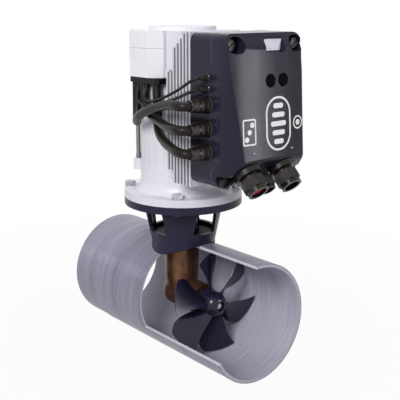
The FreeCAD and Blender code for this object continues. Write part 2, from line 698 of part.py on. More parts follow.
def bevel(label, teeth, mate, first, back, hub_radius, hub_end, bore):
    """A straight bevel gear on +Z with its apex at the origin."""
    module = size("tooth_module")
    slope = math.atan2(teeth, mate)
    cone = module * math.hypot(teeth, mate) / 2
    pitch = cone * math.tan(slope)
    inner = (cone - size("gear_face")) / cone
    wires = []
    for height in (cone * math.cos(slope) * 0.4, cone * math.cos(slope) * 1.3):
        corners = [Vector(x, y, height) for x, y in
                   cone_outline(teeth, mate, height, first, 1)]
        wires.append(Part.makePolygon(corners + corners[:1]))
    flanks = Part.makeLoft(wires, True, True)
    ends = []
    for scale in (inner, 1):
        for step in (-1.25, 1.3):
            radius = pitch + step * module
            ends.append(Vector(radius * math.cos(slope) * scale, 0,
                               (cone / math.cos(slope) - radius * math.sin(slope)) * scale))
    root_in, tip_in, root_out, tip_out = ends
    corners = [Vector(0, 0, root_in.z), root_in, tip_in, tip_out, root_out,
               Vector(0, 0, root_out.z)]
    zone = Part.Face(Part.makePolygon(corners + corners[:1]))
    zone = solid_of(zone.revolve(Vector(0, 0, 0), Vector(0, 0, 1), 360))
    shape = solid_of(flanks).common(zone)
    blank = [Vector(0, 0, root_in.z), root_in, root_out,
             Vector(root_out.x, 0, back), Vector(hub_radius, 0, back),
             Vector(hub_radius, 0, hub_end), Vector(0, 0, hub_end)]
    blank = Part.Face(Part.makePolygon(blank + blank[:1]))
    blank = solid_of(blank.revolve(Vector(0, 0, 0), Vector(0, 0, 1), 360))
    shape = shape.fuse(blank)
    hole = Part.makeCylinder(bore, 60)
    made = doc.addObject("Part::Feature", label)
    made.Shape = shape.cut(hole).removeSplitter()
    return keep(made, label)


def make_gears():
    """The bevel pair: apex where the two shafts cross."""
    driver, driven = int(size("pinion_teeth")), int(size("gear_teeth"))
    seat = size("pinion_bearing_seat")
    pinion = bevel("bevel_pinion", driver, driven, 0, seat - 3, 9.5, seat, 4.5)
    follow(pinion, "Placement.Base.x", "axis_to_end")
    gear = bevel("crown_gear", driven, driver, math.pi / driven,
                 20, size("gear_hub_radius"), size("prop_bearing_seat"), 8.05)
    gear.Placement = Placement(Vector(), Rotation(Vector(0, 0, 1), Vector(0, -1, 0),
                                                  Vector(1, 0, 0), "ZYX"))
    follow(gear, "Placement.Base.x", "axis_to_end")


def make_shafts():
    """Drive shaft, propeller shaft and the pin that drives the propeller."""
    body = begin("drive_shaft")
    line = sketch(body, "XZ", [[
        (0, 11.5), ("4.5 - fit", 11.5), ("4.5 - fit", "pinion_bearing_seat"),
        ("drive_shaft_radius", "pinion_bearing_seat"),
        ("drive_shaft_radius", "coupling_base + coupling_hub - 2"),
        (0, "coupling_base + coupling_hub - 2")]])
    turned(body, "shaft", line)

    body = begin("propeller_shaft")
    line = sketch(body, "XZ", [[
        (8.5, 0), (8.5, 8), ("prop_bearing_seat", 8),
        ("prop_bearing_seat", "prop_shaft_radius"), ("hub_start + 4", "prop_shaft_radius"),
        ("hub_start + 4", 8), ("hub_end - hub_recess_depth - 2", 8),
        ("hub_end - hub_recess_depth - 2", 4), ("hub_end - 3", 4), ("hub_end - 3", 0)]])
    turned(body, "shaft", line, "X")
    hole = sketch(body, "XZ", [circle("hub_start + 9", 0, "pin_radius + fit")])
    pocket(body, "pin_hole", hole, both=True)
    spun(body)

    body = begin("drive_pin")
    pin = sketch(body, "XZ", [circle("hub_start + 9", 0, "pin_radius")])
    pad(body, "pin", pin, 34, both=True)
    spun(body)


def blade_section(at, ccw, cw):
    """A blade section at one radius: thin lens between its two edges."""
    swing = f"atan(blade_pitch / (2 * pi * {at}))"
    thick = f"(blade_thick * (1 - 0.62 * ({at} - 18) / 76))"
    edge = 0.9
    rise = f"(({thick} - {edge}) / 2)"
    bend = f"((({ccw + cw}) ^ 2 / 4 + {rise} ^ 2) / (2 * {rise}))"

    def spot(along_chord, across):
        return (f"blade_station + {along_chord} * sin({swing}) + {across} * cos({swing})",
                f"-({along_chord}) * cos({swing}) + {across} * sin({swing})")

    return [spot(-cw, -edge / 2), spot(ccw, -edge / 2) + (bend,), spot(ccw, edge / 2),
            spot(-cw, edge / 2) + (bend,)]


def make_propeller():
    """Hub with six blades lofted through twisted sections."""
    body = begin("propeller")
    hub = sketch(body, "XZ", [[
        ("hub_start", "prop_shaft_radius + fit"), ("hub_start", "hub_radius - 2"),
        ("hub_start + 2", "hub_radius"), ("hub_end - 15", "hub_radius"),
        ("hub_end", "hub_nose_radius", "-17"), ("hub_end", "hub_recess_radius"),
        ("hub_end - hub_recess_depth", "hub_recess_radius"),
        ("hub_end - hub_recess_depth", "8 + fit"), ("hub_start + 4", "8 + fit"),
        ("hub_start + 4", "prop_shaft_radius + fit")]])
    turned(body, "hub", hub, "X")
    table = [(18, 13, 13), (35, 15, 21), (55, 18, 30), (72, 24, 32), (84, 31, 26),
             (94, 38, 14)]
    sections = [sketch(body, "XY", [blade_section(at, ccw, cw)], at)
                for at, ccw, cw in table]
    blade = feature(body, "AdditiveLoft", "blade", sections[0])
    blade.Sections = sections[1:]
    body.Tip = blade
    around(body, "blades", [blade], "blade_count", "X")
    rim = sketch(body, "YZ", [circle(0, 0, "blade_tip_radius + 40"),
                              circle(0, 0, "blade_tip_radius")])
    pocket(body, "tips", rim, "hub_end + 30", back=True)
    hole = sketch(body, "XZ", [circle("hub_start + 9", 0, "pin_radius + fit")])
    pocket(body, "pin_hole", hole, 36, both=True)
    spun(body)

    body = begin("propeller_nut")
    seat = "hub_end - hub_recess_depth"
    ring = sketch(body, "YZ", [circle(0, 0, "hub_recess_radius - 0.3"),
                               circle(0, 0, 4.1)], seat)
    pad(body, "washer", ring, "washer_thick")
    nut = sketch(body, "YZ", [polygon(6, "nut_radius"), circle(0, 0, 4.05)],
                 f"{seat} + washer_thick")
    pad(body, "hexagon", nut, "nut_height")


def jaws(body, name, start, length, turn, back=False):
    """Three of the six jaws of the coupling."""
    half = "jaw_angle / 2"
    out = "(coupling_radius - 0.3)"
    corner = [("coupling_core * cos(%s)" % half, "-coupling_core * sin(%s)" % half),
              (f"{out} * cos({half})", f"-{out} * sin({half})"),
              (f"{out} * cos({half})", f"{out} * sin({half})", out),
              ("coupling_core * cos(%s)" % half, "coupling_core * sin(%s)" % half)]
    profile = sketch(body, "XY", [corner], start, turn)
    jaw = pad(body, name, profile, length, back=back)
    around(body, name + "s", [jaw], 3)


def make_coupling():
    """Jaw coupling between motor and drive shaft."""
    top = "(coupling_base + coupling_hub)"
    body = begin("coupling_lower")
    hub = sketch(body, "XY", [circle(0, 0, "coupling_radius"),
                              circle(0, 0, "drive_shaft_radius + fit")], "coupling_base")
    pad(body, "hub", hub, "coupling_hub")
    jaws(body, "jaw", top, "coupling_jaw", "0")

    body = begin("coupling_upper")
    start = f"({top} + coupling_jaw + 2)"
    hub = sketch(body, "XY", [circle(0, 0, "coupling_radius"), circle(0, 0, "10 + fit")],
                 start)
    pad(body, "hub", hub, "coupling_hub")
    jaws(body, "jaw", start, "coupling_jaw", "60", back=True)

    body = begin("coupling_spider")
    low = f"({top} + 0.1)"
    core = sketch(body, "XY", [circle(0, 0, "coupling_core * cos(jaw_angle / 2) - 0.2"),
                               circle(0, 0, 5)], low)
    pad(body, "core", core, "coupling_jaw + 1.8")
    slope = "sin(30 - jaw_angle / 2 - 0.6)"
    reach = "(coupling_radius - 1)"
    lobe = sketch(body, "XY", [[
        (6, f"-6 * {slope}"), (reach, f"-{reach} * {slope}"), (reach, f"{reach} * {slope}"),
        (6, f"6 * {slope}")]], low, "30")
    arm = pad(body, "lobe", lobe, "coupling_jaw + 1.8")
    around(body, "lobes", [arm], 6)


def rod_spots():
    """The tie rods round the motor."""
    spots = []
    for quarter in range(4):
        angle = f"(rod_angle + {90 * quarter})"
        spots.append((f"rod_circle * cos({angle})", f"rod_circle * sin({angle})"))
    return spots


def make_motor_foot():
    """Cast foot: flange and neck, lower bearing seat, shelf and four ears."""
    body = begin("motor_foot")
    band = "(flange_radius - bolt_band)"
    seat = "(motor_bearing_radius + fit)"
    shape = sketch(body, "XZ", [[
        ("motor_bearing_radius - 4", f"{LOWER_BEARING} - 4"),
        ("motor_bearing_radius + 8", f"{LOWER_BEARING} - 4"),
        ("motor_bearing_radius + 8", f"{FOOT_RIM} - foot_diaphragm"),
        ("spigot_radius - 6", f"{FOOT_RIM} - foot_diaphragm"),
        ("spigot_radius - 6", f"{RING_TOP} - spigot_depth"),
        ("spigot_radius", f"{RING_TOP} - spigot_depth"), ("spigot_radius", RING_TOP),
        ("flange_radius", RING_TOP), ("flange_radius", FLANGE_TOP), (band, FLANGE_TOP),
        (band, f"{FLANGE_TOP} - flange_step"),
        ("neck_radius + 9.5", f"{FLANGE_TOP} - flange_step"),
        ("neck_radius", f"{FLANGE_TOP} + flare_height", "-(flare_height * 1.4)"),
        ("neck_radius", "foot_top"), ("motor_radius - motor_wall - 1", "foot_top"),
        ("motor_radius - motor_wall - 1", FOOT_RIM), (seat, FOOT_RIM),
        (seat, LOWER_BEARING), ("motor_bearing_radius - 4", LOWER_BEARING)]])
    turned(body, "casting", shape)
    shelf = sketch(body, "XY", [box(30, "-block_half", "sink_step - 0.3", "block_half")],
                   "shelf_bottom")
    pad(body, "shelf", shelf, "sink_step_bottom - 0.3 - shelf_bottom")
    ears = sketch(body, "XY", [circle(x, y, "ear_radius") for x, y in rod_spots()],
                  "ear_bottom")
    pad(body, "ears", ears, "foot_top + ear_rise - ear_bottom")
    top = sketch(body, "XY", [circle(0, 0, "motor_radius + 0.2")], "foot_top")
    pocket(body, "frame_seat", top, back=True)
    inner = sketch(body, "XY", [circle(0, 0, "motor_radius - motor_wall - 1")], FOOT_RIM)
    pocket(body, "inside", inner, back=True)
    holes = sketch(body, "XY", [circle(x, y, "rod_radius + fit") for x, y in rod_spots()],
                   "ear_bottom + 2")
    pocket(body, "rod_holes", holes, back=True)
    bolt = sketch(body, "XY", [circle("flange_bolt_circle * cos(flange_bolt_angle)",
                                      "flange_bolt_circle * sin(flange_bolt_angle)",
                                      "bolt_radius + fit")], f"{RING_TOP} - 1")
    hole = pocket(body, "bolt_hole", bolt, "flange_thick + 2", back=True)
    around(body, "bolt_holes", [hole], "flange_bolts")


def make_motor():
    """Frame, wound stator, magnet rotor, shaft and tie rods."""
    body = begin("motor_frame")
    shell = sketch(body, "XY", [circle(0, 0, "motor_radius"),
                                circle(0, 0, "motor_radius - motor_wall")], "foot_top")
    pad(body, "shell", shell, "motor_top - foot_top")
    groove = sketch(body, "XY", [box("motor_radius - groove_depth", "-groove_width / 2",
                                     "motor_radius + 1", "groove_width / 2")], "foot_top")
    cut = pocket(body, "groove", groove, "motor_top - foot_top", back=True)
    around(body, "grooves", [cut], "groove_count")

    body = begin("stator_core")
    stack = sketch(body, "XY", [circle(0, 0, "motor_radius - motor_wall - 0.1"),
                                circle(0, 0, "stator_bore")], STATOR_BOTTOM)
    pad(body, "stack", stack, "stator_length")
    slot = sketch(body, "XY", [box("stator_bore - 1", "-slot_width / 2",
                                   "stator_bore + slot_depth", "slot_width / 2")],
                  STATOR_BOTTOM)
    cut = pocket(body, "slot", slot, "stator_length", back=True)
    around(body, "slots", [cut], "slot_count")

    body = begin("stator_windings")
    for name, low in (("lower", f"{STATOR_BOTTOM} - winding_height"),
                      ("upper", STATOR_TOP)):
        ring = sketch(body, "XY", [circle(0, 0, "motor_radius - motor_wall - 2"),
                                   circle(0, 0, "stator_bore + 2")], low)
        pad(body, name, ring, "winding_height")
    coil = sketch(body, "XY", [box("stator_bore + 2.2", "-(slot_width / 2 - 0.3)",
                                   "stator_bore + slot_depth - 0.3",
                                   "slot_width / 2 - 0.3")], f"{STATOR_BOTTOM} - 1")
    made = pad(body, "coil", coil, "stator_length + 2")
    around(body, "coils", [made], "slot_count")

    body = begin("rotor_core")
    flat = "(stator_bore - air_gap - magnet_thick)"
    stack = sketch(body, "XY", [circle(0, 0, flat),
                                circle(0, 0, "motor_shaft_radius + fit")], STATOR_BOTTOM)
    pad(body, "stack", stack, "stator_length")

    body = begin("rotor_magnets")
    half = "(180 / magnet_count - 3)"
    inside = f"({flat} + 0.05)"
    out = "(stator_bore - air_gap)"
    magnet = sketch(body, "XY", [[
        (f"{inside} * cos({half})", f"-{inside} * sin({half})"),
        (f"{out} * cos({half})", f"-{out} * sin({half})"),
        (f"{out} * cos({half})", f"{out} * sin({half})", out),
        (f"{inside} * cos({half})", f"{inside} * sin({half})"),
        (f"{inside} * cos({half})", f"-{inside} * sin({half})", f"-{inside}")]],
        STATOR_BOTTOM)
    made = pad(body, "magnet", magnet, "stator_length")
    around(body, "magnets", [made], "magnet_count")

    body = begin("motor_shaft")
    start = "(coupling_base + coupling_hub + coupling_jaw + 2.5)"
    line = sketch(body, "XZ", [[
        (0, start), (10, start), (10, f"{LOWER_BEARING} - 3"),
        ("motor_shaft_radius", f"{LOWER_BEARING} - 3"),
        ("motor_shaft_radius", f"{UPPER_BEARING} + motor_bearing_width + 4"),
        (0, f"{UPPER_BEARING} + motor_bearing_width + 4")]])
    turned(body, "shaft", line)

    body = begin("tie_rods")
    rods = sketch(body, "XY", [circle(x, y, "rod_radius") for x, y in rod_spots()],
                  "ear_bottom + 3")
    pad(body, "rods", rods, "motor_top + shield_ear + 6 - ear_bottom - 3")
    nuts = []
    for x, y in rod_spots():
        nuts.append(polygon(6, 6.5, x, y))
    upper = sketch(body, "XY", nuts, "motor_top + shield_ear")
    pad(body, "upper_nuts", upper, 5)
    lower = sketch(body, "XY", [circle(x, y, "rod_radius + 0.5") for x, y in rod_spots()],
                   "foot_top + ear_rise")
    pad(body, "collars", lower, 8)


def make_end_shield():
    """Upper end of the motor with its bearing seat, and the round lid."""
    body = begin("end_shield")
    block = sketch(body, "XY", [box(0, "-block_half", "sink_step - 0.3", "block_half")],
                   "motor_top")
    pad(body, "block", block, "shield_top - motor_top")
    ears = sketch(body, "XY", [circle(x, y, "ear_radius") for x, y in rod_spots()],
                  "motor_top")
    pad(body, "ears", ears, "shield_ear")
    core = sketch(body, "XY", [circle(0, 0, "shield_radius - 1")], "motor_top")
    pocket(body, "core", core, back=True)
    seat = "(motor_bearing_radius + fit)"
    wall = "(shield_radius - 8)"
    shape = sketch(body, "XZ", [[
        ("motor_bearing_radius - 4", f"{UPPER_BEARING} - 8"),
        (wall, f"{UPPER_BEARING} - 8"), (wall, "motor_top"),
        ("shield_radius", "motor_top"), ("shield_radius", "shield_top"),
        ("lid_radius - 6", "shield_top"), ("lid_radius - 6", "shield_top - shield_skin"),
        (wall, "shield_top - shield_skin"), (wall, UPPER_BEARING),
        ("motor_bearing_radius + 8", UPPER_BEARING),
        ("motor_bearing_radius + 8", f"{UPPER_BEARING} + motor_bearing_width"),
        (seat, f"{UPPER_BEARING} + motor_bearing_width"), (seat, UPPER_BEARING),
        ("motor_bearing_radius - 4", UPPER_BEARING)]])
    turned(body, "shell", shape)
    holes = sketch(body, "XY", [circle(x, y, "rod_radius + fit") for x, y in rod_spots()],
                   "motor_top - 1")
    pocket(body, "rod_holes", holes, "shield_ear + 2", back=True)
    pockets = sketch(body, "XY", [circle(x, y, 7.2) for x, y in rod_spots()],
                     "motor_top + shield_ear")
    pocket(body, "nut_pockets", pockets, 9, back=True)

    body = begin("end_shield_lid")
    disc = sketch(body, "XY", [circle(0, 0, "lid_radius")], "shield_top")
    pad(body, "disc", disc, "lid_thick")
    step = sketch(body, "XY", [circle(0, 0, "lid_radius - 6.1")], "shield_top - 4")
    pad(body, "spigot", step, 4)


def box_plan(inset=0):
    """Plan of the terminal box, seen from above."""
    i = f"({inset})"
    return [(f"-box_left + {i} * 0.3", f"-box_front + {i}"),
            (f"box_right - {i} * 0.6", f"-box_front + {i}"),
            (f"box_right + box_chamfer - {i}", f"-box_front + box_chamfer * 4 / 3 + {i} * 0.4"),
            (f"box_right + box_chamfer - {i}", "-40"),
            (f"-box_side + {i}", "-40"),
            (f"-box_side + {i}", f"-box_side_front + {i} * 0.6")]


def shell_box(body, bottom, height, floor_first):
    """A hollow box on the terminal box's plan, round the end shield."""
    whole = sketch(body, "XY", [box_plan()], bottom)
    pad(body, "block", whole, height)
    start = f"({bottom}) + box_wall" if floor_first else bottom
    hollow = sketch(body, "XY", [box_plan("box_wall")], start)
    pocket(body, "inside", hollow, f"({height}) - box_wall", back=True)
    trim(body, bottom)


def trim(body, bottom):
    """Keeps the box clear of the motor and of the tie rod that passes it."""
    gap = sketch(body, "XY", [circle(0, 0, "motor_radius + 0.25")], f"({bottom}) - 1")
    pocket(body, "motor_gap", gap, back=True)
    x, y = rod_spots()[2]
    rod = sketch(body, "XY", [circle(x, y, "ear_radius + 0.8")], f"({bottom}) - 1")
    pocket(body, "rod_gap", rod, "motor_top + shield_ear + 9 - box_bottom", back=True)


def cable_spots():
    """Where the three motor cables and two leads enter the terminal box."""
    return ([(-25, -77, "cable_radius"), (-2, -79, "cable_radius"),
             (29, -77.5, "cable_radius")],
            [(10.5, -82, "lead_radius"), (-11.5, -82, "lead_radius")])


def make_terminal_box():
    """Terminal box, lid, cable plate, lugs and studs."""
    body = begin("terminal_box")
    shell_box(body, "box_bottom", "shield_top - box_lid_height - 0.2 - box_bottom", True)
    main, leads = cable_spots()
    mouths = sketch(body, "XY", [circle(x, y, f"{r} + 0.1") for x, y, r in main[:2] + leads],
                    "box_bottom - 1")
    pocket(body, "cable_holes", mouths, "box_wall + 2", back=True)
    catch = sketch(body, "XY", [[
        ("-box_side - 5", "-box_side_front + 8"), ("-box_side + 2", "-box_side_front + 8"),
        ("-box_side + 2", "-box_side_front + 20"), ("-box_side - 5", "-box_side_front + 20")]],
        "box_bottom + 18")
    pad(body, "catch", catch, 28)

    body = begin("terminal_lid")
    shell_box(body, "shield_top - box_lid_height + 0.2", "box_lid_height - 0.2", False)

    body = begin("cable_plate")
    plan = box_plan("0.8")
    plan[2:4] = [("box_right + box_chamfer + 3", "-box_front + 0.8"),
                 ("box_right + box_chamfer + 8", "-box_front + 6"),
                 ("box_right + box_chamfer + 8", "-40")]
    slab = sketch(body, "XY", [plan], "box_bottom - plate_thick")
    pad(body, "slab", slab, "plate_thick")
    trim(body, "box_bottom - plate_thick")
    holes = sketch(body, "XY", [circle(x, y, f"{r} + 0.1") for x, y, r in main[:2] + leads],
                   "box_bottom - plate_thick - 1")
    pocket(body, "cable_holes", holes, back=True)
    x, y, r = main[2]
    blind = sketch(body, "XY", [circle(x, y, f"{r} + 0.1")], "box_bottom - plate_thick - 1")
    pocket(body, "blind_hole", blind, "plate_thick", back=True)


def make_connections():
    """Lugs on the cable ends and the rail they are bolted to."""
    main, leads = cable_spots()
    body = begin("cable_lugs")
    barrels = sketch(body, "XY", [circle(x, y, "cable_radius - 1")
                                  for x, y, r in main[:2]], 398)
    pad(body, "barrels", barrels, 14)
    studs = sketch(body, "XY", [circle(x, y, 3) for x, y, r in main[:2]], 412)
    pad(body, "studs", studs, 14)
    rail = sketch(body, "XY", [box(-32, -80.5, 5, -76.5)], 418)
    pad(body, "rail", rail, 4)


def make_heat_sink():
    """Finned plate between motor and controller."""
    body = begin("heat_sink")
    side = sketch(body, "XZ", [[
        ("sink_back", "sink_step_bottom"), ("sink_step", "sink_step_bottom"),
        ("sink_step", "sink_bottom"), ("sink_front", "sink_bottom"),
        ("sink_front", "shield_top"), ("sink_step + 3 + sink_chamfer", "shield_top"),
        ("sink_step", "shield_top - sink_chamfer"), ("sink_step", "motor_top - 0.3"),
        ("sink_back", "motor_top - 0.3")]])
    pad(body, "block", side, "2 * sink_half", both=True)
    for name, low, high in (("right", "sink_web", "sink_half + 1"),
                            ("left", "-(sink_half + 1)", "-sink_web")):
        gap = sketch(body, "XY", [box("sink_back + fin_pitch - fin_gap", low,
                                      "sink_back + fin_pitch", high)], "sink_bottom - 1")
        cut = pocket(body, name + "_gap", gap, "shield_top - sink_bottom + 2", back=True)
        along(body, name + "_gaps", [cut], "X", "fin_pitch * (fin_count - 1)", "fin_count")
    hollow = sketch(body, "XY", [circle(0, 0, "motor_radius + sink_fit")],
                    "sink_bottom - 1")
    pocket(body, "motor_gap", hollow, back=True)
    spots = rod_spots()
    rods = sketch(body, "XY", [circle(x, y, "rod_radius + 3.2")
                               for x, y in (spots[0], spots[3])], "sink_bottom - 1")
    pocket(body, "rod_gaps", rods, back=True)


def plus_outline():
    """Inside of the controller, leaving a boss in every corner."""
    wide, slim = "(sink_half - 7)", "(screw_bay_inner - 4)"
    low, high = "(case_bottom + 7)", "(shield_top - 7)"
    lower, upper = "(screw_low + screw_bay_half + 5)", "(screw_high - screw_bay_half - 5)"
    return [(f"-{slim}", low), (slim, low), (slim, lower), (wide, lower), (wide, upper),
            (slim, upper), (slim, high), (f"-{slim}", high), (f"-{slim}", upper),
            (f"-{wide}", upper), (f"-{wide}", lower), (f"-{slim}", lower)]


def joint_outline(front, shift, gap, far):
    """Side view of the stepped joint, closed on the far side."""
    low, high = f"(case_joint_low - {gap})", f"(case_joint_high + {gap})"
    corner, middle = f"(case_joint + {shift})", f"(case_joint_mid + {shift})"
    line = [(corner, "case_bottom - 1"), (corner, low),
            (middle, f"{low} + case_joint_slope"), (middle, f"{high} - case_joint_slope"),
            (corner, high), (corner, "shield_top + 1")]
    if front:
        return line + [(far, "shield_top + 1"), (far, "case_bottom - 1")]
    return [(far, "case_bottom - 1")] + line + [(far, "shield_top + 1")]


def case_face():
    """The controller seen from the front."""
    return rounded("-sink_half", "case_bottom", "sink_half", "shield_top", "case_corner")


def make_controller():
    """Base, gasket and cover of the motor controller."""
    body = begin("controller_base")
    face = sketch(body, "YZ", [case_face()], "sink_front")
    pad(body, "block", face, "case_joint_mid - sink_front")
    joint = sketch(body, "XZ", [joint_outline(True, "0", "0", "case_joint_mid + 5")])
    pocket(body, "joint", joint, both=True)
    inside = sketch(body, "YZ", [plus_outline()], "sink_front + case_wall")
    pocket(body, "inside", inside, back=True)
    main, leads = entry_levels()
    mouths = sketch(body, "XZ", [circle("boot_forward", z, 5) for z in main])
    pocket(body, "cable_holes", mouths, "sink_half + 1", back=False)
    small = sketch(body, "XZ", [circle("boot_forward", z, 1.5) for z in leads])
    pocket(body, "lead_holes", small, "sink_half + 1", back=False)

    body = begin("controller_gasket")
    face = sketch(body, "YZ", [case_face()], "case_joint")
    pad(body, "block", face, "case_joint_mid - case_joint + joint_gap")
    front = sketch(body, "XZ", [joint_outline(True, "joint_gap - 0.05", "0.4",
                                              "case_joint_mid + 9")])
    pocket(body, "front", front, both=True)
    back = sketch(body, "XZ", [joint_outline(False, "0.05", "0", "case_joint - 9")])
    pocket(body, "back", back, both=True)
    inside = sketch(body, "YZ", [plus_outline()], "case_joint - 5")
    pocket(body, "inside", inside, back=True)

    body = begin("controller_cover")
    face = sketch(body, "YZ", [case_face()], "case_joint")
    pad(body, "block", face, "case_front_bottom + 2 - case_joint")
    rake = sketch(body, "XZ", [[
        ("case_crown", "shield_top"), ("case_front_top", "case_brow"),
        ("case_front_bottom", "case_sill"),
        ("case_front_bottom - (case_sill - case_bottom) - 3", "case_bottom - 3"),
        ("case_front_bottom + 9", "case_bottom - 3"),
        ("case_front_bottom + 9", "shield_top + 3"), ("case_crown", "shield_top + 3")]])
    pocket(body, "front", rake, both=True)
    near, far = "(sink_half - case_edge_round)", "(sink_half + 20)"
    edges = sketch(body, "XY", [
        [("-case_edge_round", "sink_half"), (0, near, "-case_edge_round"), (30, near),
         (30, far), ("-case_edge_round", far)],
        [("-case_edge_round", "-sink_half"), (0, f"-{near}", "case_edge_round"),
         (30, f"-{near}"), (30, f"-{far}"), ("-case_edge_round", f"-{far}")]])
    edges.AttachmentOffset = Placement(Vector(), Rotation(Vector(0, 1, 0), -3))
    edges.setExpression(".AttachmentOffset.Base.x", bound("case_front_bottom"))
    edges.setExpression(".AttachmentOffset.Base.z", bound("case_sill"))
    edges.setExpression(".AttachmentOffset.Rotation.Angle", bound(
        "-atan((case_front_bottom - case_front_top) / (case_brow - case_sill))"))
    pocket(body, "upright_edges", edges, both=True)
    back = sketch(body, "XZ", [joint_outline(False, "joint_gap", "0.4",
                                             "case_joint - 9")])
    pocket(body, "joint", back, both=True)
    inside = sketch(body, "YZ", [plus_outline()], "case_joint - 5")
    pocket(body, "inside", inside, "case_joint_mid - case_joint + 2", back=True)
    lower, upper = "(screw_low + screw_bay_half + 5)", "(screw_high - screw_bay_half - 5)"
    deep = sketch(body, "YZ", [box("-(sink_half - 7)", lower, "sink_half - 7", upper)],
                  "case_joint")
    pocket(body, "deep", deep, "case_front_top - 10 - case_joint", back=True)
    high = "(screw_high - screw_bay_half)"
    low = "(screw_low + screw_bay_half)"
    bays = []
    for left, right in (("-(sink_half + 9)", "-screw_bay_inner"),
                        ("screw_bay_inner", "sink_half + 9")):
        bays.append(box(left, high, right, "shield_top + 9"))
        bays.append(box(left, "case_bottom - 9", right, low))
    bay = sketch(body, "YZ", bays, "screw_bay_floor")
    pocket(body, "screw_bays", bay, back=True)
    tag = sketch(body, "YZ", [rounded(
        "tag_middle - tag_width / 2 - 2", "tag_level - tag_height / 2 - 2",
        "tag_middle + tag_width / 2 + 2", "tag_level + tag_height / 2 + 2", 3)],
        "case_front_top - tag_depth")
    pocket(body, "tag_recess", tag, back=True)
    sockets = sketch(body, "YZ", [circle(y, "socket_level", "socket_radius + 0.5")
                                  for y in socket_sides()], "case_front_top - 12")
    pocket(body, "socket_holes", sockets, back=True)
    holes = tilted(body, [circle(y, f"-{down}", f"{r} + 0.2")
                          for y, down, r, s in gland_spots()])
    pocket(body, "gland_holes", holes, 12)

    body = begin("cover_plate")
    face = sketch(body, "YZ", [rounded(
        "tag_middle - tag_width / 2", "tag_level - tag_height / 2",
        "tag_middle + tag_width / 2", "tag_level + tag_height / 2", 2)],
        "case_front_top - tag_depth")
    pad(body, "plate", face, 1)

    body = begin("cover_screws")
    spots = [(f"{side} * screw_side", level) for side in (-1, 1)
             for level in ("screw_low", "screw_high")]
    heads = sketch(body, "YZ", [circle(y, z, "screw_radius") for y, z in spots],
                   "screw_bay_floor")
    pad(body, "heads", heads, 5)
    drives = sketch(body, "YZ", [polygon(6, 2.9, y, z) for y, z in spots],
                    "screw_bay_floor + 2.5")
    pocket(body, "drives", drives, back=True)

    body = begin("data_sockets")
    rings = []
    for y in socket_sides():
        rings.append(circle(y, "socket_level", "socket_radius"))
    shell = sketch(body, "YZ", rings, "case_front_top - 12")
    pad(body, "shells", shell, 16)
    hollows = sketch(body, "YZ", [circle(y, "socket_level", "socket_radius - 2")
                                  for y in socket_sides()], "case_front_top - 9")
    pocket(body, "hollows", hollows, back=True)
    cores = sketch(body, "YZ", [circle(y, "socket_level", "socket_radius - 4")
                                for y in socket_sides()], "case_front_top - 9")
    pad(body, "cores", cores, 10)


def socket_sides():
    return ["socket_middle - socket_pitch / 2", "socket_middle + socket_pitch / 2"]


def gland_spots():
    """Side, distance below the sill, thread radius and size of each gland."""
    return [("-gland_spread", "gland_up", "gland_radius - 5", "large"),
            (0, "small_gland_up", "small_gland_radius - 3.5", "small"),
            ("gland_spread", "gland_up", "gland_radius - 5", "large")]


def tilted(body, loops, lift="0"):
    """A sketch on the gland face: x along Y, y up the face, normal outwards."""
    drawing = sketch(body, "YZ", loops)
    drawing.AttachmentOffset = Placement(Vector(), Rotation(Vector(1, 0, 0), 45))
    reach = f"({lift}) * sin(45)"
    drawing.setExpression(".AttachmentOffset.Base.y", bound(f"case_sill - {reach}"))
    drawing.setExpression(".AttachmentOffset.Base.z", bound(f"case_front_bottom + {reach}"))
    return drawing


def make_glands():
    """Three cable glands on the sloping face."""
    body = begin("gland_bodies")
    spots = gland_spots()
    thread = tilted(body, [circle(y, f"-{down}", r) for y, down, r, s in spots], "-8")
    pad(body, "threads", thread, 8)
    large = [item for item in spots if item[3] == "large"]
    small = [item for item in spots if item[3] == "small"]
    for name, group, wide, tall in (("large", large, "gland_flange", 8),
                                    ("small", small, "small_gland_radius + 1.5", 6)):
        disc = tilted(body, [circle(y, f"-{down}", wide) for y, down, r, s in group])
        pad(body, name + "_shoulder", disc, tall)
        neck = tilted(body, [circle(y, f"-{down}", f"{r} + 0.6")
                             for y, down, r, s in group], tall)
        pad(body, name + "_neck", neck, 4)
    bores = tilted(body, [circle(y, f"-{down}", f"{r} - 3") for y, down, r, s in spots],
                   "-9")
    pocket(body, "bores", bores, back=True)

    body = begin("gland_nuts")
    for name, group, corner, start, tall in (
            ("large", large, "gland_radius", 12.05, "gland_nut - 7"),
            ("small", small, "small_gland_radius", 10.05, 14)):
        nut = tilted(body, [polygon(6, corner, y, f"-{down}")
                            for y, down, r, s in group], start)
        pad(body, name + "_nut", nut, tall)
        dome = tilted(body, [circle(y, f"-{down}", f"{corner} - 3")
                             for y, down, r, s in group], f"{start} + {tall}")
        pad(body, name + "_dome", dome, 7 if name == "large" else 5)
    bores = tilted(body, [circle(y, f"-{down}", f"{r} - 2") for y, down, r, s in spots])
    pocket(body, "bores", bores, back=True)

    for label, group in (("gland_seal_red", large[:1]),
                         ("gland_seals", [large[1], small[0]])):
        body = begin(label)
        ring = []
        for y, down, r, s in group:
            bore = "gland_bore" if s == "large" else "small_gland_bore"
            ring.append(circle(y, f"-{down}", f"{r} - 2.05"))
            ring.append(circle(y, f"-{down}", bore))
        start = 14 if label == "gland_seal_red" else 13
        profile = tilted(body, ring, start)
        pad(body, "seal", profile, 17 if label == "gland_seal_red" else 9)


def entry_levels():
    """Heights of the cable and lead entries on the controller's side."""
    return (["boot_level", "boot_level - boot_drop", "boot_level - 2 * boot_drop"],
            ["lead_level", "lead_level - lead_drop"])


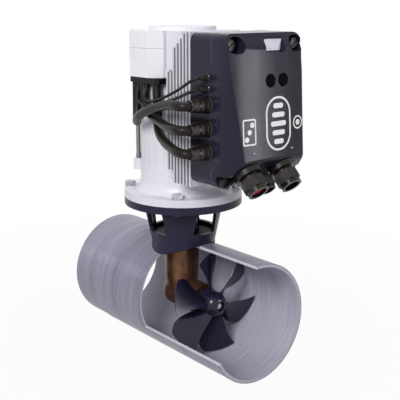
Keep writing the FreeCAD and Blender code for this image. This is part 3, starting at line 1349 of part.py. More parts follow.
def make_boots():
    """Tapering boots on the side of the controller."""
    body = begin("cable_boots")
    main, leads = entry_levels()
    for name, levels, wide, slim, length, bore in (
            ("main", main, "boot_radius", "cable_radius + 1.4", "boot_length",
             "cable_radius"),
            ("lead", leads, "lead_boot_radius", "lead_radius + 0.8", "lead_boot_length",
             "lead_radius")):
        for number, level in enumerate(levels, 1):
            root = sketch(body, "XZ", [circle("boot_forward", level, f"{wide} + 1.6")],
                          "sink_half")
            pad(body, f"{name}_{number}_flange", root, 3)
            near = sketch(body, "XZ", [circle("boot_forward", level, wide)],
                          "sink_half + 3")
            far = sketch(body, "XZ", [circle("boot_forward", level, slim)],
                         f"sink_half + {length}")
            sleeve = feature(body, "AdditiveLoft", f"{name}_{number}_sleeve", near)
            sleeve.Sections = [far]
            body.Tip = sleeve


# Centre lines of the cables: corners, with the bend radius at each inner one.
ROUTES = [
    ("motor_cable_1", "cable_radius",
     [(-25, -77, 398), (-25, -77, 304), (8, -103, 322), (50, -111, 339),
      (110, -119, 355), (156, -129, 355), (156, -109, 355)], [14, 30, 60, 60, 15]),
    ("motor_cable_2", "cable_radius",
     [(-2, -79, 398), (-2, -79, 352), (22, -91.5, 331), (75, -102, 320),
      (112, -120, 319.7), (156, -129, 319.7), (156, -109, 319.7)], [30, 30, 60, 60, 15]),
    ("motor_cable_3", "cable_radius",
     [(29, -77.5, 384), (29, -77.5, 374), (33, -79, 350), (34, -79.5, 313),
      (54, -92, 299), (88, -105, 289), (156, -129, 284.4), (156, -109, 284.4)],
     [30, 30, 30, 40, 60, 15]),
    ("sensor_lead_1", "lead_radius",
     [(10.5, -82, 392), (10.5, -82, 374), (13, -92, 348), (50, -95, 351),
      (110, -99, 373), (156, -106, 395), (156, -95, 395)], [12, 6, 40, 40, 7]),
    ("sensor_lead_2", "lead_radius",
     [(-11.5, -82, 392), (-11.5, -82, 374), (-5, -94, 344), (45, -95, 343),
      (110, -99, 362), (156, -106, 378), (156, -95, 378)], [12, 6, 40, 40, 7]),
]


def route(points, bends):
    """Straight runs joined by tangent arcs, as one wire."""
    spots = [Vector(*point) for point in points]
    edges = []
    last = spots[0]
    for index, bend in enumerate(bends, 1):
        before, corner, after = spots[index - 1], spots[index], spots[index + 1]
        inward = (before - corner).normalize()
        outward = (after - corner).normalize()
        angle = math.pi - inward.getAngle(outward)
        room = min((last - corner).Length,
                   (after - corner).Length / (1 if index == len(bends) else 2)) - 0.2
        reach = min(bend * math.tan(angle / 2), room)
        radius = reach / math.tan(angle / 2)
        start, end = corner + inward * reach, corner + outward * reach
        middle = (inward + outward).normalize()
        top = corner + middle * (radius / math.cos(angle / 2) - radius)
        edges.append(Part.LineSegment(last, start).toShape())
        edges.append(Part.Arc(start, top, end).toShape())
        last = end
    edges.append(Part.LineSegment(last, spots[-1]).toShape())
    return Part.Wire(edges)


def make_cables():
    """Cables and leads from the terminal box to the controller."""
    for label, radius, points, bends in ROUTES:
        path = route(points, bends)
        start = path.Edges[0]
        ring = Part.Wire(Part.Circle(start.valueAt(start.FirstParameter),
                                     start.tangentAt(start.FirstParameter),
                                     size(radius)).toShape())
        made = doc.addObject("Part::Feature", label)
        made.Shape = path.makePipeShell([ring], True, False, 1)
        follow(made, "Placement.Base.x", "axis_to_end")
        keep(made, label)


def make_fasteners():
    """Flange bolts with washers and the leg bolts."""
    body = begin("flange_washers")
    x = "flange_bolt_circle * cos(flange_bolt_angle)"
    y = "flange_bolt_circle * sin(flange_bolt_angle)"
    ring = sketch(body, "XY", [circle(x, y, "flange_washer_radius"),
                               circle(x, y, "bolt_radius + 0.3")], FLANGE_TOP)
    made = pad(body, "washer", ring, "flange_washer_thick")
    around(body, "washers", [made], "flange_bolts")
    body = begin("flange_bolts")
    head = sketch(body, "XY", [polygon(6, "bolt_head", x, y)],
                  f"{FLANGE_TOP} + flange_washer_thick")
    top = pad(body, "head", head, "bolt_head_height")
    shank = sketch(body, "XY", [circle(x, y, "bolt_radius")], "ring_bottom - 3")
    stem = pad(body, "shank", shank,
               "ring_thick + flange_thick + flange_washer_thick + 3.1")
    around(body, "bolts", [top, stem], "flange_bolts")

    body = begin("leg_bolts")
    spots = leg_bolt_spots()
    shanks = sketch(body, "XY", [circle(x, y, "leg_bolt_radius") for x, y in spots],
                    f"{LEG_TOP} - 15")
    pad(body, "shanks", shanks, f"{FLOOR_TOP} - {LEG_TOP} + 15")
    heads = sketch(body, "XY", [circle(x, y, 5) for x, y in spots], FLOOR_TOP)
    pad(body, "heads", heads, 5)


def make_electronics():
    """Power modules, circuit board and capacitors in the controller."""
    body = begin("power_modules")
    spots = [(-28, 296), (28, 296), (-28, 366), (28, 366)]
    blocks = sketch(body, "YZ", [box(y - 22, z - 30, y + 22, z + 30) for y, z in spots],
                    "sink_front + case_wall")
    pad(body, "blocks", blocks, 16)
    body = begin("circuit_board")
    board = sketch(body, "YZ", [box(-70, 258, 70, 424)], "sink_front + case_wall + 16")
    pad(body, "board", board, 2)
    body = begin("capacitors")
    row = sketch(body, "YZ", [circle(y, 300 + 34 * step, 14) for y in (-30, 4)
                              for step in range(3)], "sink_front + case_wall + 18")
    pad(body, "cans", row, 40)


make_tunnel()
make_gasket()
make_bracket()
make_gear_leg()
make_bearings("drive_line", "Z", [
    ("pinion_bearing_seat", "drive_shaft_radius", "leg_bore", "pinion_bearing_width"),
    (f"{LEG_CAP_BOTTOM} - pinion_bearing_width", "drive_shaft_radius", "leg_bore",
     "pinion_bearing_width"),
    (LOWER_BEARING, "motor_shaft_radius", "motor_bearing_radius", "motor_bearing_width"),
    (UPPER_BEARING, "motor_shaft_radius", "motor_bearing_radius", "motor_bearing_width")])
make_bearings("propeller", "X", [
    ("prop_bearing_seat", "prop_shaft_radius", "pod_bore", "prop_bearing_width"),
    ("prop_bearing_seat + prop_bearing_width + fit", "prop_shaft_radius", "pod_bore",
     "prop_bearing_width")])
make_leg_fittings()
make_gears()
make_shafts()
make_propeller()
make_coupling()
make_motor_foot()
make_motor()
make_end_shield()
make_terminal_box()
make_connections()
make_heat_sink()
make_controller()
make_glands()
make_boots()
make_cables()
make_fasteners()
make_electronics()
doc.recompute()

for item in doc.Objects:
    if "Invalid" in item.State or "Error" in item.State:
        raise ValueError(f"{item.Label} did not compute")
for item in PARTS:
    if item.Shape.isNull() or not item.Shape.isValid() or not item.Shape.Solids:
        raise ValueError(f"{item.Label} has no valid solid")
    item.Shape.exportStep(f"parts/{item.Label}.step")
print(len(PARTS), "sub-parts written")
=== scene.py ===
"""Electric bow thruster in its tunnel, in metres: the propeller shaft lies along X at the
origin's height and the motor stands up along Z, 202.5 mm from the tunnel's whole end."""

import json
import math

import bpy
import numpy as np
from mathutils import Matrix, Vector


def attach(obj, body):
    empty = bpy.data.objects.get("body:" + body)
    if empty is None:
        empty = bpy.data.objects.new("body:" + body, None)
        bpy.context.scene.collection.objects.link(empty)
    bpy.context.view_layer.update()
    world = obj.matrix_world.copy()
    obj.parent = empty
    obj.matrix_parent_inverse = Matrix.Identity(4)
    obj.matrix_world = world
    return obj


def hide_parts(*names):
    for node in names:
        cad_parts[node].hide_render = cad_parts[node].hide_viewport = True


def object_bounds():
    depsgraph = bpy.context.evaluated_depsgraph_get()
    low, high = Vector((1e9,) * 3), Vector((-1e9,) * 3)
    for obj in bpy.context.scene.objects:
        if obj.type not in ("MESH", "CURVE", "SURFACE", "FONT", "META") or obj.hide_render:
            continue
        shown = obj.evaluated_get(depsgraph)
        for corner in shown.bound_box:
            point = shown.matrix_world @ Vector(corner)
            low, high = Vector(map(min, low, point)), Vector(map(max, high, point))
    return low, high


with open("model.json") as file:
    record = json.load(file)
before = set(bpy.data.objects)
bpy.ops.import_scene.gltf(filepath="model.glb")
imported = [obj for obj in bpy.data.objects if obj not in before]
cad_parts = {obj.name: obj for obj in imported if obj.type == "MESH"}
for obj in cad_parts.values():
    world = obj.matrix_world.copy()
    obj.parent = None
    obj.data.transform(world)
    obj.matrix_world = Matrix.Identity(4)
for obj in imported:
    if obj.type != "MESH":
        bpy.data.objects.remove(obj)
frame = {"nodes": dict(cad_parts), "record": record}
first_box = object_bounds()
nodes = frame["nodes"]
MOTOR = 0.2025


# Tunnel: a filament-wound pipe of glass fibre and resin, 185 mm bore, sawn open toward the
# propeller and ground to 195 mm at its whole end. Rovings run round it in close turns with one
# frayed lap along it, the bore is smoother, and the saw leaves the pale edge of the glass.
def pigment(code):
    """Six hexadecimal digits as the shader's linear red, green, blue and alpha."""
    share = np.array([int(code[i:i + 2], 16) for i in (0, 2, 4)]) / 255
    linear = np.where(share <= 0.04045, share / 12.92, ((share + 0.055) / 1.055) ** 2.4)
    return (*linear.tolist(), 1.0)


def finish(name):
    """A new material with only its surface shader, joined to the output."""
    made = bpy.data.materials.new(name)
    made.use_nodes = True
    made.node_tree.nodes.clear()
    shader = made.node_tree.nodes.new("ShaderNodeBsdfPrincipled")
    output = made.node_tree.nodes.new("ShaderNodeOutputMaterial")
    made.node_tree.links.new(shader.outputs[0], output.inputs[0])
    return made


def fill(material, target, **values):
    """Sets a shader's sockets, by value or by the output that feeds them."""
    for name, value in values.items():
        socket = target.inputs[name if name in target.inputs else name.replace("_", " ")]
        if isinstance(value, bpy.types.NodeSocket):
            material.node_tree.links.new(value, socket)
        else:
            socket.default_value = value


def shader_of(material):
    """The surface shader of a material."""
    return next(n for n in material.node_tree.nodes if n.type == "BSDF_PRINCIPLED")


def add(material, kind, inputs, **settings):
    """One pattern node: settings are its options, inputs its sockets by name or number."""
    made = material.node_tree.nodes.new("ShaderNode" + kind)
    for name, value in settings.items():
        setattr(made, name, value)
    for name, value in inputs.items():
        if isinstance(value, bpy.types.NodeSocket):
            material.node_tree.links.new(value, made.inputs[name])
        else:
            made.inputs[name].default_value = value
    return made


def place(material, stretch=(1, 1, 1), centre=(0, 0, 0), turn=(0, 0, 0)):
    """The point's place on the piece, in metres, moved to a centre, turned and stretched."""
    own = add(material, "TexCoord", {}).outputs["Object"]
    moved = add(material, "Mapping", {"Vector": own, "Location": [-c for c in centre]})
    return add(material, "Mapping", {"Vector": moved.outputs[0], "Rotation": turn,
                                     "Scale": stretch}).outputs[0]


def mottle(material, size, stretch=(1, 1, 1), detail=3.0, contrast=(0.3, 0.7)):
    """Soft noise with spots of about this size in metres, spread from 0 to 1."""
    cloud = add(material, "TexNoise", {"Vector": place(material, stretch), "Scale": 1 / size,
                                       "Detail": detail}).outputs[0]
    return add(material, "MapRange", {"Value": cloud, "From Min": contrast[0],
                                      "From Max": contrast[1]}).outputs[0]


def blend(material, share, first, second):
    """A colour that goes from the first to the second as the share goes from 0 to 1."""
    return add(material, "Mix", {0: share, 6: first, 7: second}, data_type="RGBA").outputs[2]


def span(material, share, least, most):
    """A number that goes from the least to the most as the share goes from 0 to 1."""
    return add(material, "MapRange", {"Value": share, "To Min": least, "To Max": most}).outputs[0]


def sums(material, operation, *terms):
    """One arithmetic step on numbers."""
    return add(material, "Math", dict(enumerate(terms)), operation=operation).outputs[0]


def off_axis(material, first, second, centre=(0, 0, 0)):
    """Distance in metres from the axis square to the two given directions, X, Y or Z."""
    point = add(material, "SeparateXYZ", {"Vector": place(material, centre=centre)}).outputs
    flat = add(material, "CombineXYZ", {first: point[first], second: point[second]}).outputs[0]
    return add(material, "VectorMath", {0: flat}, operation="LENGTH").outputs["Value"]


def relief(material, height, depth, under=None):
    """A bump of this depth in metres, laid over another one where it is given."""
    inputs = {"Height": height, "Distance": depth, "Strength": 1.0}
    if under is not None:
        inputs["Normal"] = under
    return add(material, "Bump", inputs).outputs[0]


def dress(material, *names):
    """Gives CAD pieces this material."""
    for name in names:
        nodes[name].data.materials.clear()
        nodes[name].data.materials.append(material)


GROUND_END, BORE = 0.0975, 0.0925
glass = finish("wound_glass")
axes = add(glass, "SeparateXYZ", {"Vector": place(glass)}).outputs
radius = off_axis(glass, "Y", "Z")
outside = sums(glass, "GREATER_THAN", radius, GROUND_END - 0.00025)
inside = sums(glass, "LESS_THAN", radius, BORE + 0.0002)
angle = sums(glass, "ARCTAN2", axes["Z"], axes["Y"])
rovings = mottle(glass, 0.05, (42, 0.7, 0.7), 5.0, (0.35, 0.65))
threads = mottle(glass, 0.05, (110, 1.6, 1.6), 2.0)
zones = mottle(glass, 0.09, (3.5, 0.5, 0.5), 2.0)
helix = sums(glass, "ADD", sums(glass, "MULTIPLY", axes["X"], 330.0),
             sums(glass, "MULTIPLY", angle, 6.0))
turns = span(glass, sums(glass, "SINE", helix), -0.05, 1.05)
LAP_ANGLE = 2.62
lap = sums(glass, "ABSOLUTE", sums(glass, "SUBTRACT", angle, LAP_ANGLE))
lapped = add(glass, "MapRange", {"Value": lap, "From Min": 0.05, "From Max": 0.13,
                                 "To Min": 0.34, "To Max": 0.0}).outputs[0]
frayed = sums(glass, "MULTIPLY", lapped, mottle(glass, 0.02, (4, 0.6, 0.6), 4.0))
weave = sums(glass, "ADD", sums(glass, "ADD", sums(glass, "MULTIPLY", turns, 0.04), frayed),
             sums(glass, "MULTIPLY", zones, 0.35))
tone = sums(glass, "ADD", sums(glass, "MULTIPLY", rovings, 0.4),
            sums(glass, "ADD", weave, sums(glass, "MULTIPLY", threads, 0.25)))
skin = blend(glass, tone, pigment("656178"), pigment("a29eb2"))
bore = blend(glass, sums(glass, "MULTIPLY", rovings, 0.8), pigment("c4c2d0"), pigment("9f9bb1"))
sawn = blend(glass, mottle(glass, 0.0009, (1, 1, 1), 2.0), pigment("d9d7e3"), pigment("c6c4d2"))
coat = blend(glass, inside, skin, bore)
either = sums(glass, "MAXIMUM", inside, outside)
fill(glass, shader_of(glass), Base_Color=blend(glass, either, sawn, coat),
     Roughness=span(glass, threads, 0.34, 0.5), IOR=1.5, Coat_Weight=0.12, Coat_Roughness=0.2,
     Normal=relief(glass, rovings, 0.00006, relief(glass, threads, 0.00003)))
dress(glass, "tunnel")


# Saddle gasket: a 1.5 mm sheet of black nitrile rubber cut to the bracket's foot, clamped
# between the crown of the tunnel and the bracket.
def moulded(name, colour, roughness, grain=0.0006, depth=0.00002, dust="3a3436", share=0.1,
            sheen=0.18):
    """Plastic or rubber from a mould: a fine grain, slight dust and uneven sheen."""
    made = finish(name)
    fine = mottle(made, grain, detail=2.0)
    broad = mottle(made, 0.03, detail=4.0, contrast=(0.35, 0.75))
    dusty = sums(made, "MULTIPLY", broad, share)
    fill(made, shader_of(made), Base_Color=blend(made, dusty, pigment(colour), pigment(dust)),
         Roughness=span(made, broad, roughness - 0.05, roughness + 0.08), IOR=1.48,
         Specular_IOR_Level=sheen, Normal=relief(made, fine, depth))
    return made


gasket_rubber = moulded("gasket_rubber", "141315", 0.62)
dress(gasket_rubber, "saddle_gasket")


# Bracket: a cast aluminium cone with four windows under the motor ring, shot-blasted and
# sprayed in glossy navy, bolted through the tunnel by the gear leg's screws. Inside the cone the
# paint is coloured near black and less glossy: painted shade in its hollow. The cone's inner
# radius would be 27 mm at the tunnel's axis and grows by 0.22 of the height.
def sprayed(name, colour, shade, roughness, peel=0.0014, depth=0.00003, sheen=0.5):
    """Sprayed paint: soft drift of tone, orange-peel skin and an uneven gloss."""
    made = finish(name)
    drift = mottle(made, 0.05, detail=4.0)
    skin_of = mottle(made, peel, detail=1.5)
    specks = mottle(made, 0.0022, detail=2.0, contrast=(0.62, 0.72))
    toned = blend(made, sums(made, "MULTIPLY", drift, 0.55), pigment(colour), pigment(shade))
    fill(made, shader_of(made),
         Base_Color=blend(made, sums(made, "MULTIPLY", specks, 0.2), toned, pigment(shade)),
         Roughness=span(made, drift, roughness - 0.04, roughness + 0.06), IOR=1.5,
         Specular_IOR_Level=sheen, Normal=relief(made, skin_of, depth))
    return made


def tone_of(material):
    """The output that already feeds a material's base colour."""
    return shader_of(material).inputs["Base Color"].links[0].from_socket


CONE_AT_AXIS, CONE_SLOPE = 0.0271, 0.2235
bracket_paint = sprayed("bracket_paint", "262338", "2f2c45", 0.3, sheen=0.16)
level = add(bracket_paint, "SeparateXYZ", {"Vector": place(bracket_paint)}).outputs["Z"]
inner_wall = sums(bracket_paint, "ADD", CONE_AT_AXIS,
                  sums(bracket_paint, "MULTIPLY", level, CONE_SLOPE))
# Near black inside the cone's wall: painted shade.
painted_shade_inside = sums(bracket_paint, "LESS_THAN",
                    off_axis(bracket_paint, "X", "Y", (MOTOR, 0, 0)), inner_wall)
fill(bracket_paint, shader_of(bracket_paint),
     Base_Color=blend(bracket_paint, painted_shade_inside, tone_of(bracket_paint), pigment("0c0a0a")),
     Specular_IOR_Level=span(bracket_paint, painted_shade_inside, 0.16, 0.03))
dress(bracket_paint, "bracket")


# Gear leg and its two seal housings: sand-cast gunmetal bronze, left bare. The sand shows as a
# fine grain, and the metal is browner where it was handled.
def cast(name, colour, shade, roughness, grain=0.0011, depth=0.00009):
    """Sand-cast metal: blotches of tarnish, grains of sand and a few pits."""
    made = finish(name)
    blotches = mottle(made, 0.018, detail=5.0)
    sand = mottle(made, grain, detail=3.0)
    pits = add(made, "TexVoronoi", {"Vector": place(made), "Scale": 420.0}).outputs["Distance"]
    pitted = add(made, "MapRange", {"Value": pits, "From Max": 0.22}).outputs[0]
    fill(made, shader_of(made), Base_Color=blend(made, blotches, pigment(colour), pigment(shade)),
         Metallic=0.72, Roughness=span(made, sand, roughness - 0.06, roughness + 0.1),
         Normal=relief(made, pitted, 0.00003, relief(made, sand, depth)))
    return made


bronze = cast("cast_bronze", "7a553d", "563b2c", 0.36)
dress(bronze, "gear_leg", "leg_seal_housing", "pod_seal_housing")


# Bearings, spacer and seals inside the leg and motor: ground bearing rings, a turned steel
# spacer, and lip seals of black rubber pressed in their housings.
def turned(name, colour, roughness, stretch, depth=0.00001, metallic=1.0):
    """Turned or ground metal: fine lines round the axis that the pattern is stretched along."""
    made = finish(name)
    lines = mottle(made, 0.02, stretch, 2.0)
    smears = mottle(made, 0.012, detail=4.0)
    darker = tuple(0.72 * c for c in pigment(colour)[:3]) + (1.0,)
    fill(made, shader_of(made),
         Base_Color=blend(made, sums(made, "MULTIPLY", smears, 0.6), pigment(colour), darker),
         Metallic=metallic, Roughness=span(made, lines, roughness - 0.06, roughness + 0.1),
         Normal=relief(made, lines, depth))
    return made


ground_upright = turned("ground_steel_upright", "a9a9ae", 0.26, (1, 1, 90))
ground_level = turned("ground_steel_level", "a9a9ae", 0.26, (90, 1, 1))
lip_rubber = moulded("lip_rubber", "171618", 0.5)
dress(ground_upright, "drive_line_bearing_inner_rings", "drive_line_bearing_outer_rings",
      "bearing_spacer")
dress(ground_level, "propeller_bearing_inner_rings", "propeller_bearing_outer_rings")
dress(lip_rubber, "shaft_seals")

# Bevel gears: a 14-tooth pinion on the drive shaft and a 25-tooth crown gear on the propeller
# shaft, milled from case-hardened steel, darkened by the heat and bright on the flanks.
hardened = finish("hardened_steel")
heat = mottle(hardened, 0.006, detail=4.0)
milled = mottle(hardened, 0.0004, detail=2.0)
fill(hardened, shader_of(hardened), Metallic=1.0,
     Base_Color=blend(hardened, heat, pigment("8d8a88"), pigment("6c6461")),
     Roughness=span(hardened, heat, 0.28, 0.42), Normal=relief(hardened, milled, 0.000008))
dress(hardened, "bevel_pinion", "crown_gear")

# Shafts: stainless bar turned to size. The drive shaft stands in the leg, the propeller shaft
# lies in the pod, and a cross pin drives the hub.
stainless_upright = turned("stainless_upright", "c3c2c6", 0.24, (1, 1, 60))
stainless_level = turned("stainless_level", "c3c2c6", 0.24, (60, 1, 1))
dress(stainless_upright, "drive_shaft", "motor_shaft", "drive_pin")
dress(stainless_level, "propeller_shaft")

# Propeller: six skewed blades and a domed hub moulded in one piece of glass-filled nylon, navy
# right through, with a waxy gloss and faint flow marks that run out along the blades.
nylon = finish("propeller_nylon")
spot = add(nylon, "SeparateXYZ", {"Vector": place(nylon)}).outputs
reach = off_axis(nylon, "Y", "Z")
round_hub = sums(nylon, "ARCTAN2", spot["Z"], spot["Y"])
flow_place = add(nylon, "CombineXYZ", {
    "X": sums(nylon, "MULTIPLY", round_hub, 9.0), "Y": sums(nylon, "MULTIPLY", reach, 28.0),
    "Z": sums(nylon, "MULTIPLY", spot["X"], 60.0)}).outputs[0]
flow = add(nylon, "TexNoise", {"Vector": flow_place, "Scale": 1.3, "Detail": 4.0}).outputs[0]
streaks = add(nylon, "MapRange", {"Value": flow, "From Min": 0.35, "From Max": 0.7}).outputs[0]
fibres = mottle(nylon, 0.0007, detail=2.0)
fill(nylon, shader_of(nylon),
     Base_Color=blend(nylon, sums(nylon, "MULTIPLY", streaks, 0.4), pigment("1e1b30"),
                      pigment("29263f")),
     Roughness=span(nylon, streaks, 0.15, 0.21), IOR=1.5, Specular_IOR_Level=0.34,
     Normal=relief(nylon, streaks, 0.00002, relief(nylon, fibres, 0.000008)))
dress(nylon, "propeller")

# Propeller nut and its washer: stainless, screwed on the shaft's end in the hub's recess, and
# darkened as painted shade in the recess.
recess_shaded_nut = turned("recess_shaded_nut", "6f6c74", 0.16, (60, 1, 1))
dress(recess_shaded_nut, "propeller_nut")

# Jaw coupling: two turned steel hubs, on the drive shaft and on the motor shaft, with a star of
# yellowed polyurethane between their jaws.
star = moulded("coupling_star", "c9923c", 0.42, dust="8a6a3c")
dress(ground_upright, "coupling_lower", "coupling_upper")
dress(star, "coupling_spider")

# Motor foot: cast aluminium flange and neck that carry the lower bearing, sprayed white over
# primer. The casting shows softly through the paint.
white_paint = sprayed("white_paint", "e8e6ed", "dcdae4", 0.36, 0.0018, 0.00004)
dress(white_paint, "motor_foot")

# Motor frame and end shield: a ribbed tube between cast ends, with a round lid over the upper
# bearing, all in the same white paint.
dress(white_paint, "motor_frame", "end_shield", "end_shield_lid")

# Stator: a stack of 0.5 mm laminations with copper windings lacquered in the slots.
lamination = finish("lamination_stack")
SHEETS_PER_METRE = 2000.0
sheets = sums(lamination, "FRACT", sums(lamination, "MULTIPLY", add(
    lamination, "SeparateXYZ", {"Vector": place(lamination)}).outputs["Z"], SHEETS_PER_METRE))
blued = mottle(lamination, 0.009, detail=4.0)
fill(lamination, shader_of(lamination), Metallic=0.85, Roughness=0.45,
     Base_Color=blend(lamination, blued, pigment("6d6e75"), pigment("54565f")),
     Normal=relief(lamination, sheets, 0.00004))
copper = finish("wound_copper")
strand = add(copper, "TexWave", {"Vector": place(copper), "Scale": 420.0, "Distortion": 1.5,
                                 "Detail": 1.0}, bands_direction="Z").outputs["Fac"]
fill(copper, shader_of(copper), Metallic=0.9, Roughness=0.33, Coat_Weight=0.4,
     Base_Color=blend(copper, strand, pigment("8e4a26"), pigment("c9743f")),
     Normal=relief(copper, strand, 0.0002))
dress(lamination, "stator_core", "rotor_core")
dress(copper, "stator_windings")

# Rotor magnets: eight nickel-plated neodymium tiles glued round the rotor core.
nickel = turned("nickel_plate", "b3b1ab", 0.3, (1, 1, 3))
dress(nickel, "rotor_magnets")

# Tie rods: four long zinc-plated rods through ears of the foot and the end shield, dulled.
rod_zinc = turned("rod_zinc", "8d898c", 0.34, (1, 1, 60))
dress(rod_zinc, "tie_rods")

# Terminal box: pressed aluminium with a lid that overlaps it, in a white a little lighter than
# the motor's: the extra lightness is painted light. The cables come down through a black moulded
# plate on brass lugs inside.
lit_box_paint = sprayed("lit_box_paint", "f3f2f7", "e6e5ed", 0.34, 0.0016, 0.00003)
plate_plastic = moulded("plate_plastic", "0e0d0e", 0.42)
brass = turned("lug_brass", "b59655", 0.3, (1, 1, 40))
dress(lit_box_paint, "terminal_box", "terminal_lid")
dress(plate_plastic, "cable_plate")
dress(brass, "cable_lugs")

# Heat sink: an extruded aluminium block of eight fins between motor and controller, sprayed
# silver-white; draw lines run up the fins. From 4 mm into the gaps between the fins their sides
# turn dark brown: painted shade between the fins, not a colour of the paint.
sink_paint = finish("sink_paint")
draw_lines = mottle(sink_paint, 0.03, (30, 30, 1), 2.0)
flakes = mottle(sink_paint, 0.0012, detail=1.0)
FIN_EDGE, GAP_SHADE_REACH = 0.0805, 0.004
FINS_MIDDLE, FINS_HALF = MOTOR + 0.0886, 0.0275
fin_spot = add(sink_paint, "SeparateXYZ", {
    "Vector": add(sink_paint, "VectorMath", {0: place(sink_paint, centre=(FINS_MIDDLE, 0, 0))},
                  operation="ABSOLUTE").outputs[0]}).outputs
fin_face = add(sink_paint, "SeparateXYZ", {
    "Vector": add(sink_paint, "TexCoord", {}).outputs["Normal"]}).outputs
from_edge = sums(sink_paint, "SUBTRACT", FIN_EDGE, fin_spot["Y"])
into_gap = add(sink_paint, "MapRange", {"Value": from_edge, "From Max": GAP_SHADE_REACH}).outputs[0]
upright = sums(sink_paint, "LESS_THAN", sums(sink_paint, "ABSOLUTE", fin_face["Z"]), 0.5)
among_fins = sums(sink_paint, "LESS_THAN", fin_spot["X"], FINS_HALF)
# Sides of the fins deeper than 4 mm into the gaps: painted shade.
painted_gap_shade = sums(sink_paint, "MULTIPLY", into_gap, sums(sink_paint, "MULTIPLY", upright,
                                                       among_fins))
edge_tone = blend(sink_paint, draw_lines, pigment("dcdbe3"), pigment("c9c8d1"))
fill(sink_paint, shader_of(sink_paint), Metallic=0.1,
     Base_Color=blend(sink_paint, painted_gap_shade, edge_tone, pigment("3f3838")),
     Roughness=span(sink_paint, flakes, 0.36, 0.5),
     Normal=relief(sink_paint, draw_lines, 0.00003, relief(sink_paint, flakes, 0.00001)))
dress(sink_paint, "heat_sink")

# Controller case: base and cover moulded in glossy navy plastic, joined on a black gasket by
# four black screws; a plain silver plate lies in the recess at the top.
case_plastic = finish("case_plastic")
sink_marks = mottle(case_plastic, 0.06, detail=3.0)
case_grain = mottle(case_plastic, 0.0012, detail=1.5)
handled = mottle(case_plastic, 0.025, (1, 1, 0.4), 5.0, (0.45, 0.8))
fill(case_plastic, shader_of(case_plastic),
     Base_Color=blend(case_plastic, sums(case_plastic, "MULTIPLY", handled, 0.35),
                      pigment("221f30"), pigment("2b283c")),
     Roughness=span(case_plastic, handled, 0.18, 0.26), IOR=1.5, Specular_IOR_Level=0.2,
     Normal=relief(case_plastic, sink_marks, 0.00008, relief(case_plastic, case_grain, 0.000012)))
seam_rubber = moulded("seam_rubber", "3c3a50", 0.5)
screw_plastic = moulded("screw_plastic", "1b1615", 0.3, sheen=0.3)
silver_plate = turned("silver_plate", "a19fa8", 0.42, (1, 60, 1), metallic=0.6)
dress(case_plastic, "controller_base")
dress(seam_rubber, "controller_gasket")
dress(silver_plate, "cover_plate")

# Controller cover: the same plastic in one shell. Its front leans out toward the glands and is
# softly crowned, the left corner opens into a broad flank lower down, and pockets take screws,
# plate and sockets. Its values are millimetres from the motor's axis and the tunnel's.
CASE_BOTTOM, CASE_TOP = 231, 459
BROW_Z, BROW_AHEAD, LEAN = 438, 203, 1 / 17
SCREW_Y, SCREW_TOP_Z, SCREW_LOW_Z = 66, 442, 239
SOCKET_Z, SOCKETS_Y = 389, (1, 28)


def meet(first, second, softness):
    """The smaller of two heights, rounded over a width of this softness where they cross."""
    share = np.clip(0.5 + 0.5 * (second - first) / softness, 0, 1)
    return second * (1 - share) + first * share - softness * share * (1 - share)


def front_height(z):
    """How far ahead the leaning front is at height z, before its crown: the brow's distance
    and the lean times the way down from the brow."""
    return BROW_AHEAD + (BROW_Z - z) * LEAN


def crown(y):
    """How far the front falls back at y: a shallow parabola about y = -10, and a stronger one
    toward the left flank from y = -20 on."""
    return 0.00031 * (y + 10) ** 2 + np.clip((-20 - y) / 32, 0, 2) ** 2


def seam_height(z):
    """Rear edge of the cover: 166 ahead, and 15 more at mid height with a slope at each end."""
    return 166 + 15 * np.clip((z - 257) / 14, 0, 1) * np.clip((418 - z) / 14, 0, 1)


def skirt(z):
    """Half width of the outline at height z: 81, less at the round corners of radius 14."""
    near_end = np.maximum(0, 14 - np.minimum(z - CASE_BOTTOM, CASE_TOP - z))
    return 67 + np.sqrt(np.maximum(0, 14 ** 2 - near_end ** 2))


tall = np.linspace(CASE_BOTTOM, CASE_TOP, 206)[:, None]
lean_left = np.linspace(np.pi / 2, 0, 26)[None, :-1]
lean_right = np.linspace(0, np.pi / 2, 16)[None, 1:]
flat = np.linspace(0, 1, 130)[None, :]
flank = 3 + 26 * np.clip((420 - tall) / 152, 0, 1.12)
left_edge = -skirt(tall) + flank
right_edge = skirt(tall) - 12
wide = np.hstack([left_edge - flank * np.sin(lean_left),
                  left_edge + (right_edge - left_edge) * flat,
                  right_edge + 12 * np.sin(lean_right)])
fall = np.hstack([np.cos(lean_left), np.ones_like(flat), np.cos(lean_right)])
rim = seam_height(tall) + 1.5
depth = rim + (front_height(tall) - crown(wide) - rim) * fall
brow_slope = BROW_AHEAD - (tall - BROW_Z) * 12 / 21
sill_slope = 213 - (268 - tall)
depth = meet(meet(depth, brow_slope, 2.5), sill_slope, 7.0)
tall_grid = np.broadcast_to(tall, wide.shape)
pockets = [((np.abs(wide - 14.5) < 20) & (np.abs(tall_grid - 441) < 10.6), 193.8)]
pockets += [(np.hypot(wide - y, tall_grid - SOCKET_Z) < 9.7, 191.0) for y in SOCKETS_Y]
for side in (-1, 1):
    run = np.clip(wide * side, 58, 64.5) * side
    pockets += [(np.hypot(wide - run, tall_grid - SCREW_TOP_Z) < 11.6, 178),
                ((wide * side > 51) & (tall_grid < 249.5), 176)]
for within, bottom in pockets:
    depth = np.where(within, np.minimum(depth, bottom), depth)
depth, wide, tall_grid = np.pad(depth, 1), np.pad(wide, 1, "edge"), np.pad(tall_grid, 1, "edge")
rear_edge = np.pad(np.zeros((depth.shape[0] - 2, depth.shape[1] - 2), bool), 1,
                   constant_values=True)
depth = np.where(rear_edge, seam_height(tall_grid), depth)
shell_points = np.stack([MOTOR + depth / 1000, wide / 1000, tall_grid / 1000], -1).reshape(-1, 3)
index = np.arange(depth.size).reshape(depth.shape)
shell_faces = np.stack([index[:-1, :-1], index[:-1, 1:], index[1:, 1:], index[1:, :-1]],
                       -1).reshape(-1, 4)


